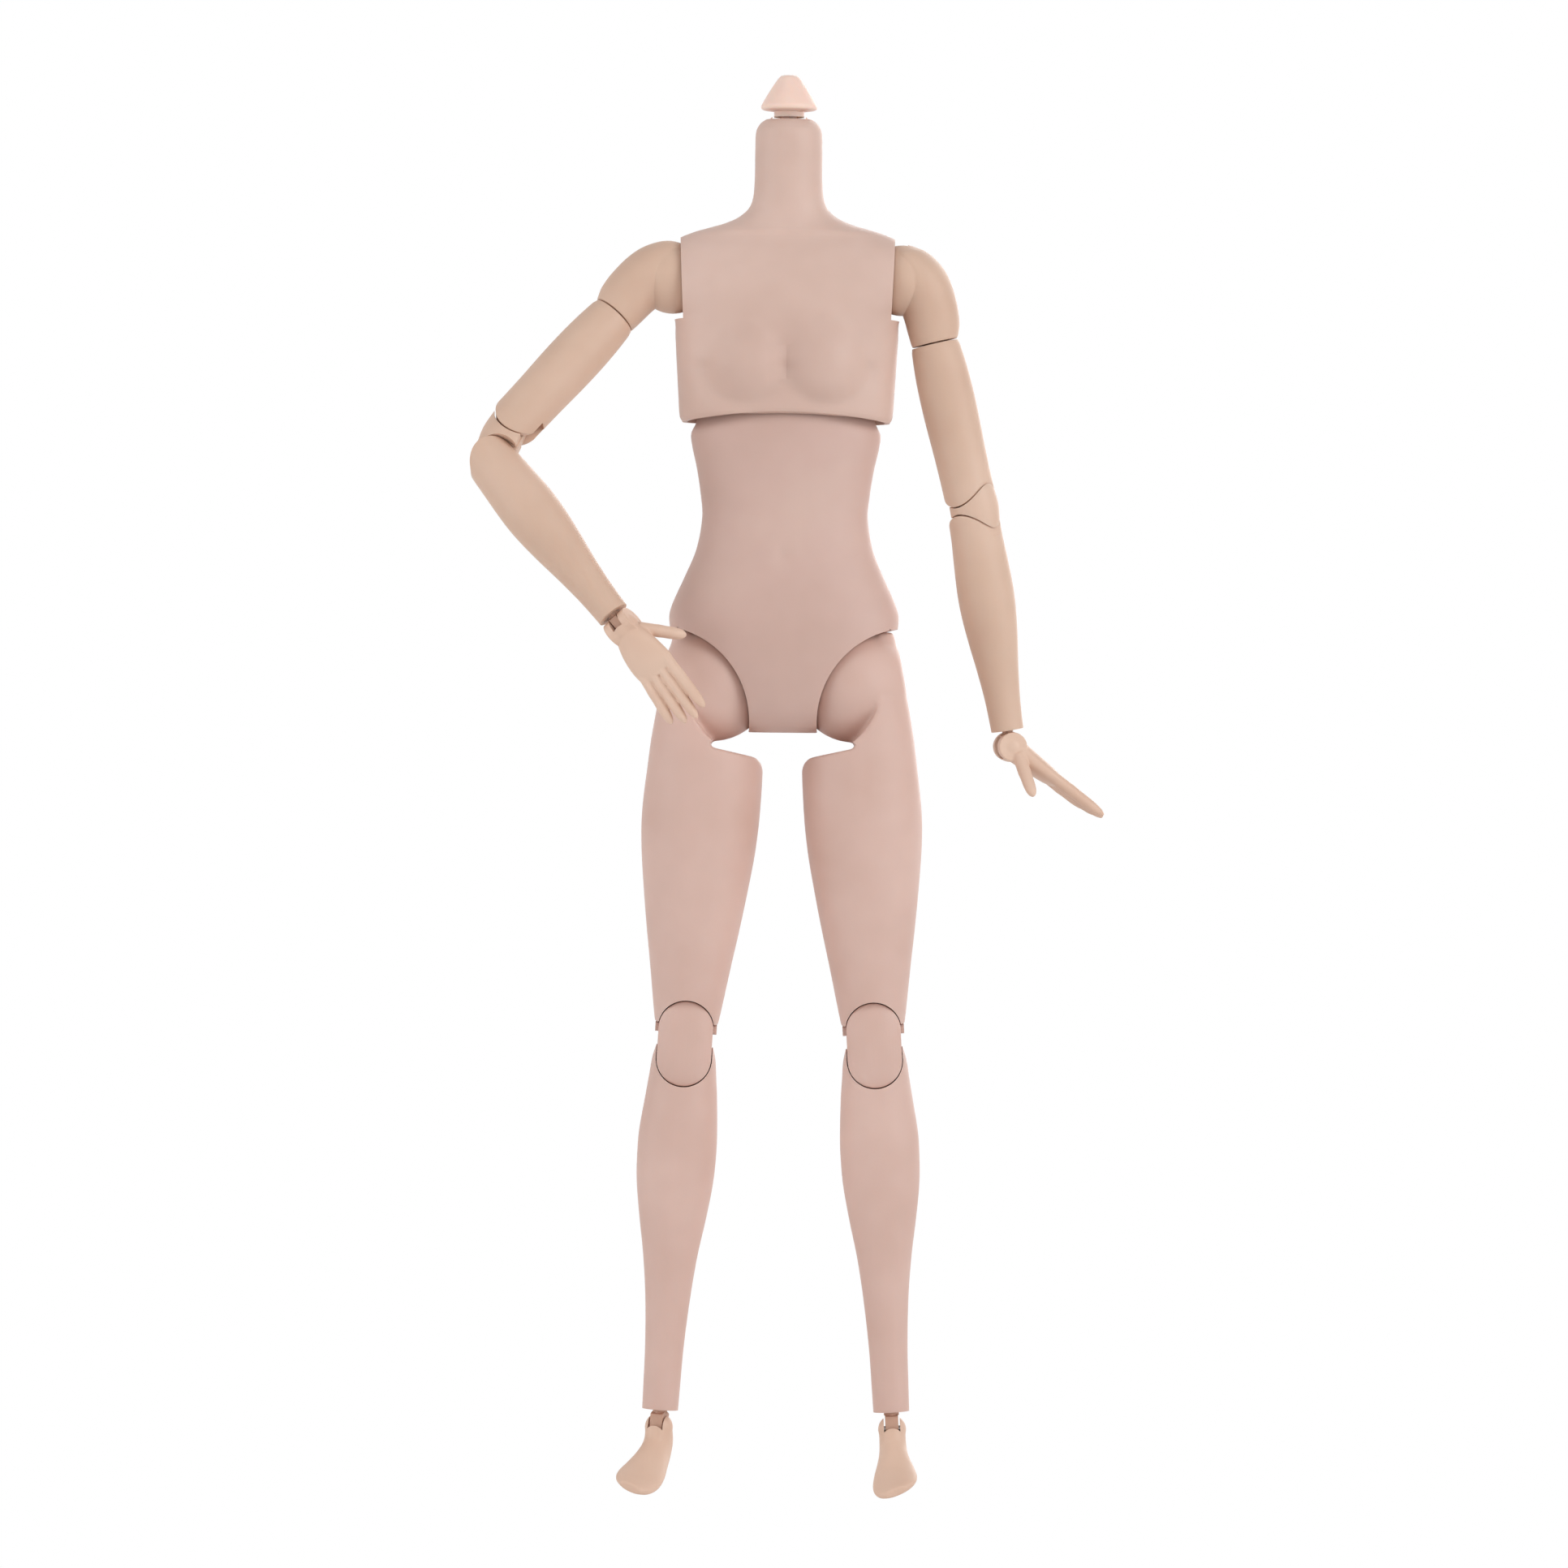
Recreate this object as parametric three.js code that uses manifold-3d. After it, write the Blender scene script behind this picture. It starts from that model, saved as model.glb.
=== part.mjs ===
// Articulated fashion doll body, one sixth scale, shown without its head
// Millimetres, +Z up, the doll faces -Y, its left side is +X, the origin is the middle of the waist
import * as THREE from 'three';
import Module from 'manifold-3d';
import { mergeVertices } from 'three/addons/utils/BufferGeometryUtils.js';

const wasm = await Module();
wasm.setup();

// Fits that every piece shares
const runningGap = 0.3;
const seamGap = 0.35;
const pinGap = 0.22;
const cutOverrun = 6;

// Torso sizes
const waistHalfWidth = 15.3;
const torsoHalfDepth = 9;
const hipHalfWidth = 21.2;
const pelvisHalfDepth = 11.6;
const waistToCrotch = 39.7;
const waistToHip = 30.8;
const waistToAbdomenTop = 15.4;
const abdomenDome = 5.4;
const abdomenTopHalfWidth = 17.5;
const navelRadius = 1.3;
const navelDrop = 7.5;
const legOpeningRadius = 17.6;
const legOpeningOut = 10.8;
const legOpeningDrop = 7;

// Chest and neck sizes
const waistToSpinePivot = 24;
const spinePivotToChestEdge = 6.5;
const chestHeight = 34;
const chestHalfWidth = 20.9;
const chestHalfDepth = 11.4;
const chestWall = 0.85;
const chestPocketHeight = 5;
const chestRimWidthShare = 0.915;
const chestRimDepthShare = 0.94;
const chestEdgeArch = 1.7;
const chestEdgeBand = 5;
const shoulderFaceX = 19.9;
const shoulderFaceLean = 2.5;
const neckHeight = 22;
const neckRadius = 6.2;
const bustRadius = 7.2;
const bustSpacing = 15.6;
const bustHeight = 10.5;
const bustDepth = 2.6;
const bustUpperStretch = 1.25;
const bustFullness = 1.2;

// Neck peg sizes
const neckPivotDrop = 3.6;
const collarRadius = 3.7;
const collarDome = 4.6;
const collarLength = 8.8;
const collarFlareHeight = 0.9;
const stemRadius = 2.8;
const neckPinRadius = 0.7;
const stemHeight = 0.15;
const knobRadius = 5.2;
const knobRim = 1.2;
const knobCone = 5.25;
const knobTipRadius = 1.6;

// Spine post sizes
const postRadius = 2.3;
const postLength = 18;
const postHeadRadius = 3.6;
const postHeadHeight = 1.6;
const spineEyeRadius = 2.6;
const spineEyeWidth = 4;
const spinePinRadius = 1;
const spinePinLength = 15;

// Shoulder sizes
const shoulderX = 21.2;
const shoulderHeight = 26.6;
const shoulderBall = 6.6;
const shoulderBore = 2.4;
const shoulderAxle = 14.2;
const shoulderHead = 1.6;
const shoulderTongue = 3;
const shoulderEye = 2;
const shoulderPin = 0.9;
const capLength = 12.6;
const capOut = 3.25;
const capHalfWidth = 5.4;
const capHalfDepth = 6.2;

// Arm sizes
const upperArmLength = 25.4;
const upperArmRadius = 5.05;
const elbowSpacing = 11.2;
const elbowRadius = 4.8;
const forearmTopRadius = 4.6;
const forearmLength = 36;
const forearmRadius = 5.3;
const bicepsPegRadius = 1.6;
const bicepsPegLength = 6;
const bicepsHeadRadius = 2.4;
const bicepsHeadHeight = 2;
const elbowTongue = 3;
const elbowEye = 2.3;
const elbowPin = 0.8;
const elbowFold = 65;

// Hand sizes
const wristDrop = 3.1;
const wristRadius = 2.85;
const wristHalfWidth = 2.6;
const wristPegRadius = 1.05;
const wristPegLength = 6;
const wristHeadRadius = 1.8;
const wristTongue = 1.6;
const wristEye = 1.5;
const wristPin = 0.55;
const handLength = 22;
const palmLength = 10;
const palmHalfWidth = 4;
const palmHalfDepth = 1.75;
const fingerHalfWidth = 1.02;
const fingerHalfDepth = 1.15;
const thumbLength = 9;
const thumbHalfWidth = 1.17;
const thumbHalfDepth = 1.25;
const thumbDip = 34;
const thumbSplay = 38;

// Leg sizes
const hipX = 13;
const hipBall = 10.6;
const thighLength = 63;
const thighHalfWidth = 11;
const thighOut = 0.63;
const thighNotch = 15.4;
const thighNotchRadius = 0.6;
const kneeSpacing = 5.6;
const kneeDrop = 63.8;
const kneeRadius = 5.3;
const kneeHalfWidth = 5;
const kneecapHalfWidth = 4.9;
const kneecapBulge = 1.2;
const kneecapStart = 2.2;
const kneePin = 0.9;
const kneeFold = 62;
const calfLength = 65;
const calfHalfWidth = 7.3;

// Hip hardware sizes
const hipShaftRadius = 1.5;
const hipShaftHalfLength = 8.6;
const hipShaftHead = 2.2;
const hipShaftHeadLength = 1;
const hipSwivelRadius = 3.4;
const hipSwivelReach = 8;
const hipEye = 2.7;
const hipTongue = 3;
const hipPin = 1;
const hipCorner = 12;
const hipCornerHalfDepth = 5.8;

// Foot sizes
const ankleDrop = 3.3;
const ankleRadius = 2.6;
const anklePegRadius = 1.4;
const anklePegLength = 7;
const ankleHeadRadius = 2.1;
const ankleHeadHeight = 1.4;
const ankleTongue = 2.4;
const ankleEye = 1.7;
const anklePin = 0.65;
const footDrop = 11.9;
const footReach = 13.5;
const footHalfWidth = 4.1;
const footHalfDepth = 3.6;
const toeSlope = 0.33;

// Joint angles of the pose in the photograph, in degrees, for the doll's left and right
const leftPose = {
  swing: 0, lift: 13.5, biceps: 40, elbowTop: 2.9, elbowLow: 2, wristTurn: -142, wristBend: -44,
  legSwing: 0, legSpread: 3.3, kneeTop: 0, kneeLow: 0, ankleTurn: 0, ankleBend: 0,
};
const rightPose = {
  swing: -17, lift: 40.5, biceps: 0, elbowTop: 15.5, elbowLow: 62.9, wristTurn: -30, wristBend: 0,
  legSwing: 0, legSpread: 3.3, kneeTop: 0, kneeLow: 0, ankleTurn: 20, ankleBend: 0,
};

// Joint reach that slots and cut-aways are shaped for, in degrees
const liftReach = 92;
const spreadReach = 45;
const closeReach = 3;
const wristReach = 50;
const ankleReach = 32;
const nodReach = 16;

// Facet counts
const torsoSides = 24;
const limbSides = 16;
const armSides = 14;
const digitSides = 6;
const pinSides = 8;
const ballSides = 16;
const jointSides = 12;
const cutSides = 24;
const slotSteps = 3;

const weldDistance = 1e-5;
const turn = Math.PI / 180;
const { cos, sin, sqrt, sign, abs, hypot, atan2, PI } = Math;

// Solids
function toSolid(geometry) {
  const bare = geometry.clone();
  bare.deleteAttribute('normal');
  bare.deleteAttribute('uv');
  const welded = mergeVertices(bare, weldDistance);
  return new wasm.Manifold(new wasm.Mesh({
    numProp: 3,
    vertProperties: new Float32Array(welded.attributes.position.array),
    triVerts: new Uint32Array(welded.index.array),
  }));
}

function toGeometry(solid) {
  const mesh = solid.getMesh();
  const geometry = new THREE.BufferGeometry();
  geometry.setAttribute('position', new THREE.BufferAttribute(new Float32Array(mesh.vertProperties), 3));
  geometry.setIndex(new THREE.BufferAttribute(new Uint32Array(mesh.triVerts), 1));
  return geometry;
}

function shift(geometry, x, y, z) {
  return geometry.translate(x, y, z);
}

function join(...geometries) {
  return geometries.map(toSolid).reduce((all, next) => all.add(next));
}

function cut(solid, ...geometries) {
  return geometries.map(toSolid).reduce((rest, next) => rest.subtract(next), solid);
}

// A closed skin through rings: each ring has x, y, z, width, front, back, power and a pitch about X
function loft(rings, sides) {
  const positions = [];
  for (const ring of rings) {
    const pitch = ring.pitch ?? 0;
    for (let i = 0; i < sides; i += 1) {
      const angle = (2 * PI * i) / sides;
      const bend = 2 / ring.power;
      const across = ring.width * sign(cos(angle)) * abs(cos(angle)) ** bend;
      const depth = sin(angle) < 0 ? ring.front : ring.back;
      const along = depth * sign(sin(angle)) * abs(sin(angle)) ** bend;
      positions.push(ring.x + across, ring.y + along * cos(pitch), ring.z - along * sin(pitch));
    }
  }
  const last = rings.length - 1;
  positions.push(rings[0].x, rings[0].y, rings[0].z);
  positions.push(rings[last].x, rings[last].y, rings[last].z);
  const faces = [];
  const bottom = rings.length * sides;
  for (let i = 0; i < sides; i += 1) {
    const next = (i + 1) % sides;
    faces.push(bottom, next, i);
    faces.push(bottom + 1, last * sides + i, last * sides + next);
    for (let j = 0; j < last; j += 1) {
      const low = j * sides;
      const high = low + sides;
      faces.push(low + i, low + next, high + next);
      faces.push(low + i, high + next, high + i);
    }
  }
  if (rings[0].z > rings[last].z) {
    for (let k = 0; k < faces.length; k += 3) {
      [faces[k + 1], faces[k + 2]] = [faces[k + 2], faces[k + 1]];
    }
  }
  const geometry = new THREE.BufferGeometry();
  geometry.setAttribute('position', new THREE.BufferAttribute(new Float32Array(positions), 3));
  geometry.setIndex(faces);
  return geometry;
}

function ball(radius, sides = ballSides) {
  return new THREE.SphereGeometry(radius, sides, Math.round(sides / 1.5));
}

function spheroid(halfWidth, halfDepth, halfHeight, sides = ballSides) {
  return ball(halfWidth, sides).scale(1, halfDepth / halfWidth, halfHeight / halfWidth);
}

function block(width, depth, height) {
  return new THREE.BoxGeometry(width, depth, height);
}

// A round bar centred on the origin, along x, y or z
function bar(radius, length, axis, sides = pinSides) {
  const geometry = new THREE.CylinderGeometry(radius, radius, length, sides);
  if (axis === 'x') geometry.rotateZ(PI / 2);
  if (axis === 'z') geometry.rotateX(PI / 2);
  return geometry;
}

// A revolved profile of [radius, height] points about Z
function revolve(points, sides = pinSides) {
  const profile = points.map(([radius, height]) => new THREE.Vector2(radius, height));
  return new THREE.LatheGeometry(profile, sides).rotateX(PI / 2);
}

// The room that a tongue of half height swings through, from one direction to another, about Y or X
function swingSlot(width, halfHeight, reach, fromAngle, toAngle, axis) {
  const outer = hypot(reach, halfHeight);
  const spread = atan2(halfHeight, reach);
  const shape = new THREE.Shape();
  shape.absarc(0, 0, outer, fromAngle * turn - spread, toAngle * turn + spread, false);
  shape.absarc(0, 0, halfHeight, toAngle * turn + PI / 2, fromAngle * turn + 3 * PI / 2, false);
  const slot = new THREE.ExtrudeGeometry(shape, { depth: width, bevelEnabled: false, curveSegments: slotSteps });
  slot.translate(0, 0, -width / 2).rotateX(PI / 2);
  if (axis === 'x') slot.rotateZ(PI / 2);
  return slot;
}

// A flat bar with a round eye, from the origin along a direction in degrees, about Y or X
function tongue(width, halfHeight, reach, angle, axis) {
  return swingSlot(width, halfHeight, sqrt(reach ** 2 - halfHeight ** 2), angle, angle, axis);
}

// A peg that turns in its bore: neck, then a wider head, both along Z and upwards from under the seam
function pegProfile(radius, length, headRadius, headHeight, gap) {
  const neck = length - headHeight;
  const base = -2 * seamGap;
  return [
    [0, base],
    [radius + gap, base],
    [radius + gap, neck - gap],
    [headRadius + gap, neck - gap],
    [headRadius + gap, length + gap],
    [0, length + gap],
  ];
}

// Colours of the moulded plastics
const skinColour = 0xd3b2a4;
const limbColour = 0xd0ac9b;
const pegColour = 0xe3a99a;
const innerColour = 0xe6dcd2;
const metalColour = 0xb9babd;

function plastic(colour, roughness = 0.5) {
  return new THREE.MeshStandardMaterial({ color: colour, roughness, metalness: 0 });
}

function steel() {
  return new THREE.MeshStandardMaterial({ color: metalColour, roughness: 0.3, metalness: 1 });
}

// One named piece: side -1 mirrors the left piece into the right one
function piece(parent, name, solid, material, side = 1) {
  const geometry = toGeometry(solid);
  if (side < 0) {
    geometry.scale(-1, 1, 1);
    const index = geometry.index.array;
    for (let k = 0; k < index.length; k += 3) {
      [index[k + 1], index[k + 2]] = [index[k + 2], index[k + 1]];
    }
  }
  const mesh = new THREE.Mesh(geometry, material);
  mesh.name = name;
  parent.add(mesh);
}

// A pivot inside its parent, turned about one axis, with both mirrored on the right side
function pivot(parent, x, y, z, axis, degrees, side = 1) {
  const group = new THREE.Group();
  group.position.set(x * side, y, z);
  group.rotation[axis] = degrees * turn * (axis === 'x' ? 1 : side);
  parent.add(group);
  return group;
}

// Rows of shares become rings of a limb that hangs down from the origin
// Each row: share of the length, sideways, half width, front and back shares, and the section's power
function hangingRings(rows, length, halfWidth, power = 2, top = 0) {
  return rows.map(([down, out, width, front, back]) => ({
    x: out * halfWidth,
    y: 0,
    z: top - down * length,
    width: width * halfWidth,
    front: front * halfWidth,
    back: back * halfWidth,
    power,
  }));
}

// Abdomen and pelvis
// Rows: share of the drop from waist to crotch, then half width, front and back shares
const pelvisShares = [
  [1, 0.29, 0.5, 0.56, 2.4],
  [0.97, 0.45, 0.7, 0.76, 2.4],
  [0.9, 0.7, 0.88, 0.93, 2.5],
  [0.79, 0.9, 0.97, 1.08, 2.6],
  [0.65, 0.97, 1, 1.13, 2.7],
  [0.53, 0.99, 0.99, 1.12, 2.7],
  [0.46, 1, 0.97, 1.07, 2.6],
  [0.4, 0.97, 0.94, 1.02, 2.5],
  [0.28, 0.87, 0.87, 0.94, 2.3],
  [0.15, 0.77, 0.8, 0.85, 2.2],
];
const abdomenShares = [
  [0, 1, 0.96, 0.98],
  [0.26, 1.02, 0.97, 1],
  [0.58, 1.07, 0.99, 1.02],
  [0.85, 1.13, 1, 1.03],
];

// Rows of the dome that the chest rests on: share of its height, half width and depth shares, and power
const domeShares = [
  [0, 1, 0.97, 2.15],
  [0.3, 0.955, 0.9, 2],
  [0.62, 0.91, 0.86, 1.95],
  [0.86, 0.78, 0.72, 1.95],
  [1, 0.5, 0.45, 2],
];

function pelvisSolid() {
  const rings = pelvisShares.map(([drop, width, front, back, power]) => ({
    x: 0,
    y: 0,
    z: -drop * waistToCrotch,
    width: width * hipHalfWidth,
    front: front * pelvisHalfDepth,
    back: back * pelvisHalfDepth,
    power,
  }));
  for (const [rise, width, front, back] of abdomenShares) {
    rings.push({
      x: 0,
      y: 0,
      z: rise * waistToAbdomenTop,
      width: width * waistHalfWidth,
      front: front * torsoHalfDepth,
      back: back * torsoHalfDepth,
      power: 2.2,
    });
  }
  for (const [rise, width, depth, power] of domeShares) {
    rings.push({
      x: 0,
      y: 0,
      z: waistToAbdomenTop + rise * abdomenDome,
      width: width * abdomenTopHalfWidth,
      front: depth * torsoHalfDepth,
      back: depth * torsoHalfDepth,
      power,
    });
  }
  let solid = toSolid(loft(rings, torsoSides));
  const postBase = waistToSpinePivot - postLength;
  const post = pegProfile(postRadius, postLength, postRadius, postHeadHeight, pinGap);
  const foot = bar(postHeadRadius + pinGap, postHeadHeight + 2 * runningGap, 'z', ballSides);
  const navel = spheroid(navelRadius, navelRadius, navelRadius, pinSides);
  solid = cut(
    solid,
    shift(revolve(post, ballSides), 0, 0, postBase),
    shift(foot, 0, 0, postBase + postHeadHeight / 2),
    shift(navel, 0, -torsoHalfDepth - navelRadius / 2, -navelDrop),
    shift(bar(hipShaftRadius + pinGap, 2 * hipX, 'x'), 0, 0, -waistToHip),
  );
  for (const side of [1, -1]) {
    const opening = bar(legOpeningRadius, 2 * (pelvisHalfDepth + cutOverrun), 'y', cutSides);
    const corner = toSolid(bar(hipCorner + runningGap, 2 * (hipCornerHalfDepth + runningGap), 'y', limbSides));
    const above = block(hipCorner * 2, hipCorner * 2, hipCorner * 2);
    shift(above, side * (hipCorner - hipBall / 3), 0, hipCorner);
    const groove = corner.intersect(toSolid(above)).translate([side * hipX, 0, -waistToHip]);
    solid = cut(
      solid,
      shift(opening, side * (hipX + legOpeningOut), 0, -waistToHip - legOpeningDrop),
      shift(ball(hipBall + seamGap, ballSides), side * hipX, 0, -waistToHip),
    ).subtract(groove);
  }
  return solid;
}

// Both halves of a shell that parts on the plane through its sides
function halves(solid) {
  const size = 10 * hipHalfWidth;
  const front = toSolid(shift(block(size, size, 2 * size), 0, -size / 2, 0));
  return [solid.intersect(front), solid.subtract(front)];
}

// Chest and neck
// Rows: share of the chest height, half width, front and back shares, power
const chestShares = [
  [0, 0.915, 0.94, 0.93, 2.3],
  [0.03, 0.94, 0.965, 0.955, 2.3],
  [0.15, 0.955, 0.99, 0.98, 2.3],
  [0.25, 0.965, 0.995, 0.99, 2.3],
  [0.35, 0.975, 1, 1, 2.4],
  [0.46, 0.985, 1, 1, 2.4],
  [0.57, 1, 1, 1, 2.5],
  [0.645, 1.1, 0.98, 1, 2.5],
  [0.75, 1.2, 0.93, 0.98, 2.5],
  [0.865, 1.2, 0.82, 0.93, 2.5],
  [0.94, 1.13, 0.72, 0.85, 2.4],
  [1, 0.96, 0.62, 0.76, 2.3],
];
const neckShares = [
  [0.055, 2.75, 1.12, 1.34, 2.2],
  [0.085, 2.38, 1.07, 1.28, 2.1],
  [0.125, 1.9, 1.03, 1.21, 2],
  [0.18, 1.47, 1.01, 1.12, 2],
  [0.27, 1.14, 1, 1.04, 2],
  [0.42, 1.02, 1, 1, 2],
  [0.8, 1, 1, 1, 2],
  [0.91, 0.97, 0.97, 0.97, 2],
  [0.972, 0.84, 0.84, 0.84, 2],
  [1, 0.7, 0.7, 0.7, 2],
];

// Pushes the front of the chest out in two soft swellings at a height
function swell(geometry, height) {
  const position = geometry.attributes.position;
  for (let i = 0; i < position.count; i += 1) {
    const above = position.getZ(i) - height;
    const rise = above > 0 ? above / bustUpperStretch : above;
    const away = hypot(abs(position.getX(i)) - bustSpacing / 2, rise) / bustRadius;
    const push = bustDepth * Math.max(0, 1 - away * away) ** bustFullness;
    if (position.getY(i) < 0) position.setY(i, position.getY(i) - push);
  }
  return geometry;
}

// Lifts the front of the chest's lower edge into a shallow arch
function archEdge(geometry, edge) {
  const position = geometry.attributes.position;
  for (let i = 0; i < position.count; i += 1) {
    const across = position.getX(i) / (chestRimWidthShare * chestHalfWidth);
    const near = 1 - (position.getZ(i) - edge) / chestEdgeBand;
    const lift = chestEdgeArch * Math.max(0, near) * Math.max(0, 1 - across * across);
    if (position.getY(i) < 0) position.setZ(i, position.getZ(i) + lift);
  }
  return geometry;
}

function chestSolid() {
  const chestRings = chestShares.map(([rise, width, front, back, power]) => ({
    x: 0,
    y: 0,
    z: rise * chestHeight - spinePivotToChestEdge,
    width: width * chestHalfWidth,
    front: front * chestHalfDepth,
    back: back * chestHalfDepth,
    power,
  }));
  const shoulderTop = chestHeight - spinePivotToChestEdge;
  const neckRings = neckShares.map(([rise, width, front, back, power]) => ({
    x: 0,
    y: 0,
    z: shoulderTop + rise * neckHeight,
    width: width * neckRadius,
    front: front * neckRadius,
    back: back * neckRadius,
    power,
  }));
  const skin = archEdge(loft([...chestRings, ...neckRings], torsoSides), -spinePivotToChestEdge);
  let solid = toSolid(swell(skin, bustHeight - spinePivotToChestEdge));
  const pocketRings = [
    { rise: -cutOverrun, share: 1 },
    { rise: 0.6 * chestPocketHeight, share: 1 },
    { rise: 0.9 * chestPocketHeight, share: 0.92 },
    { rise: chestPocketHeight, share: 0.8 },
  ].map(({ rise, share }) => ({
    x: 0,
    y: 0,
    z: rise - spinePivotToChestEdge,
    width: share * (chestRimWidthShare * chestHalfWidth - chestWall),
    front: share * (chestRimDepthShare * chestHalfDepth - chestWall),
    back: share * (chestRimDepthShare * chestHalfDepth - chestWall),
    power: 2.3,
  }));
  const slot = block(spineEyeWidth + 2 * runningGap, 2 * (spineEyeRadius + runningGap), 2 * chestPocketHeight);
  shift(slot, 0, 0, spineEyeRadius + runningGap - chestPocketHeight);
  const neckTop = shoulderTop + neckHeight;
  const collarBore = bar(collarRadius + pinGap, collarLength + cutOverrun, 'z', ballSides);
  solid = cut(
    solid,
    loft(pocketRings, torsoSides),
    slot,
    bar(spinePinRadius + pinGap / 2, spinePinLength + 2 * pinGap, 'x'),
    shift(collarBore, 0, 0, neckTop + (cutOverrun - collarLength) / 2 - pinGap - neckPivotDrop / 2),
  );
  const shoulderZ = shoulderHeight - spinePivotToChestEdge;
  for (const side of [1, -1]) {
    const face = block(2 * chestHalfWidth, 4 * chestHalfDepth, chestHeight);
    face.translate(chestHalfWidth, 0, 0).rotateY(shoulderFaceLean * turn);
    face.translate(shoulderFaceX, 0, shoulderZ + chestHeight / 4 + shoulderBall / 8);
    const axleLength = shoulderAxle - shoulderBall;
    const headX = shoulderX - shoulderAxle + shoulderHead / 2;
    if (side < 0) face.rotateZ(PI);
    solid = cut(
      solid,
      face,
      shift(ball(shoulderBall + seamGap, cutSides), side * shoulderX, 0, shoulderZ),
      shift(
        bar(shoulderBore + pinGap, axleLength + 2 * seamGap, 'x', limbSides),
        side * (shoulderX - shoulderBall - axleLength / 2),
        0,
        shoulderZ,
      ),
      shift(
        bar(shoulderBore + shoulderPin + pinGap, shoulderHead + 2 * pinGap, 'x', limbSides),
        side * headX,
        0,
        shoulderZ,
      ),
    );
  }
  return solid;
}

// Neck collar with its domed seat, and the knob that the head snaps on to
function collarSolid() {
  const seat = [];
  const steps = 4;
  const edge = Math.asin(collarRadius / collarDome);
  for (let k = 0; k <= steps; k += 1) {
    const angle = (edge * k) / steps;
    seat.push([collarDome * sin(angle), collarDome * cos(angle)]);
  }
  const base = neckPivotDrop - collarLength;
  const profile = [[0, base], [collarRadius, base], ...seat.reverse()];
  const tailWidth = stemRadius + runningGap;
  const slot = swingSlot(tailWidth, stemRadius / 2 + runningGap, 2 * collarDome, 90 - nodReach, 90 + nodReach, 'x');
  const flare = revolve([
    [0, collarDome / 2],
    [collarRadius, collarDome / 2],
    [collarRadius, neckPivotDrop],
    [stemRadius, neckPivotDrop + collarFlareHeight],
    [0, neckPivotDrop + collarFlareHeight],
  ], ballSides);
  const room = 2 * (stemRadius + runningGap);
  const cheeks = toSolid(flare).subtract(toSolid(block(room, 4 * collarRadius, 4 * collarDome)));
  return cut(
    toSolid(revolve(profile, ballSides)).add(cheeks),
    slot,
    bar(neckPinRadius + pinGap, 3 * collarRadius, 'x'),
  );
}

function knobSolid() {
  const seat = [];
  const steps = 4;
  const dome = collarDome + seamGap;
  const edge = Math.asin(stemRadius / dome);
  for (let k = 0; k <= steps; k += 1) {
    const angle = (edge * k) / steps;
    seat.push([dome * sin(angle), dome * cos(angle)]);
  }
  const stemTop = dome + stemHeight;
  const rimBase = stemTop + runningGap;
  const coneBase = rimBase + knobRim;
  const profile = [
    ...seat,
    [stemRadius, stemTop],
    [knobRadius - runningGap, rimBase],
    [knobRadius, rimBase + knobRim / 3],
    [knobRadius, coneBase],
    [0.8 * knobRadius, coneBase + 0.28 * knobCone],
    [0.5 * knobRadius, coneBase + 0.75 * knobCone],
    [knobTipRadius, coneBase + knobCone],
    [0, coneBase + knobCone],
  ];
  const tail = tongue(stemRadius, stemRadius / 2, dome + runningGap, 90, 'x');
  const hole = bar(neckPinRadius + pinGap, 2 * stemRadius, 'x');
  return cut(join(revolve(profile, ballSides), tail), hole);
}

// Spine post: a headed peg that turns in the abdomen, with the eye that the chest bends on
function postSolid() {
  const base = -postLength;
  const profile = [
    [0, base],
    [postHeadRadius, base],
    [postHeadRadius, base + postHeadHeight],
    [postRadius, base + postHeadHeight],
    [postRadius, -spineEyeRadius / 2],
    [0, -spineEyeRadius / 2],
  ];
  const eye = bar(spineEyeRadius, spineEyeWidth, 'x', ballSides);
  return cut(join(revolve(profile, ballSides), eye), bar(spinePinRadius + pinGap, 2 * spineEyeWidth, 'x'));
}

// Shoulder T-joint: an axle along X in the chest, and the tongue that the cap is pinned to
function shoulderJointSolid() {
  const collarStart = shoulderAxle - shoulderHead;
  const axleEnd = shoulderBall + pinGap / 2;
  const axle = bar(shoulderBore, collarStart - axleEnd + pinGap, 'x', limbSides);
  const head = bar(shoulderBore + shoulderPin, shoulderHead, 'x', limbSides);
  const blade = tongue(shoulderTongue, shoulderEye, axleEnd + pinGap, 180, 'y');
  return cut(
    join(
      blade,
      shift(axle, -(collarStart + axleEnd) / 2, 0, 0),
      shift(head, -shoulderAxle + shoulderHead / 2, 0, 0),
    ),
    bar(shoulderPin + pinGap, 2 * shoulderTongue, 'y'),
  );
}

// Rows: share of the cap length, sideways, half width and half depth shares
const capShares = [
  [1, 0.61, 0.78, 0.72],
  [0.96, 0.63, 0.82, 0.75],
  [0.8, 0.685, 0.9, 0.82],
  [0.52, 0.7, 0.95, 0.92],
  [0.15, 0.59, 1, 1],
  [-0.12, 0.44, 0.93, 0.97],
  [-0.36, 0.22, 0.72, 0.78],
  [-0.49, 0.05, 0.3, 0.36],
];

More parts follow.
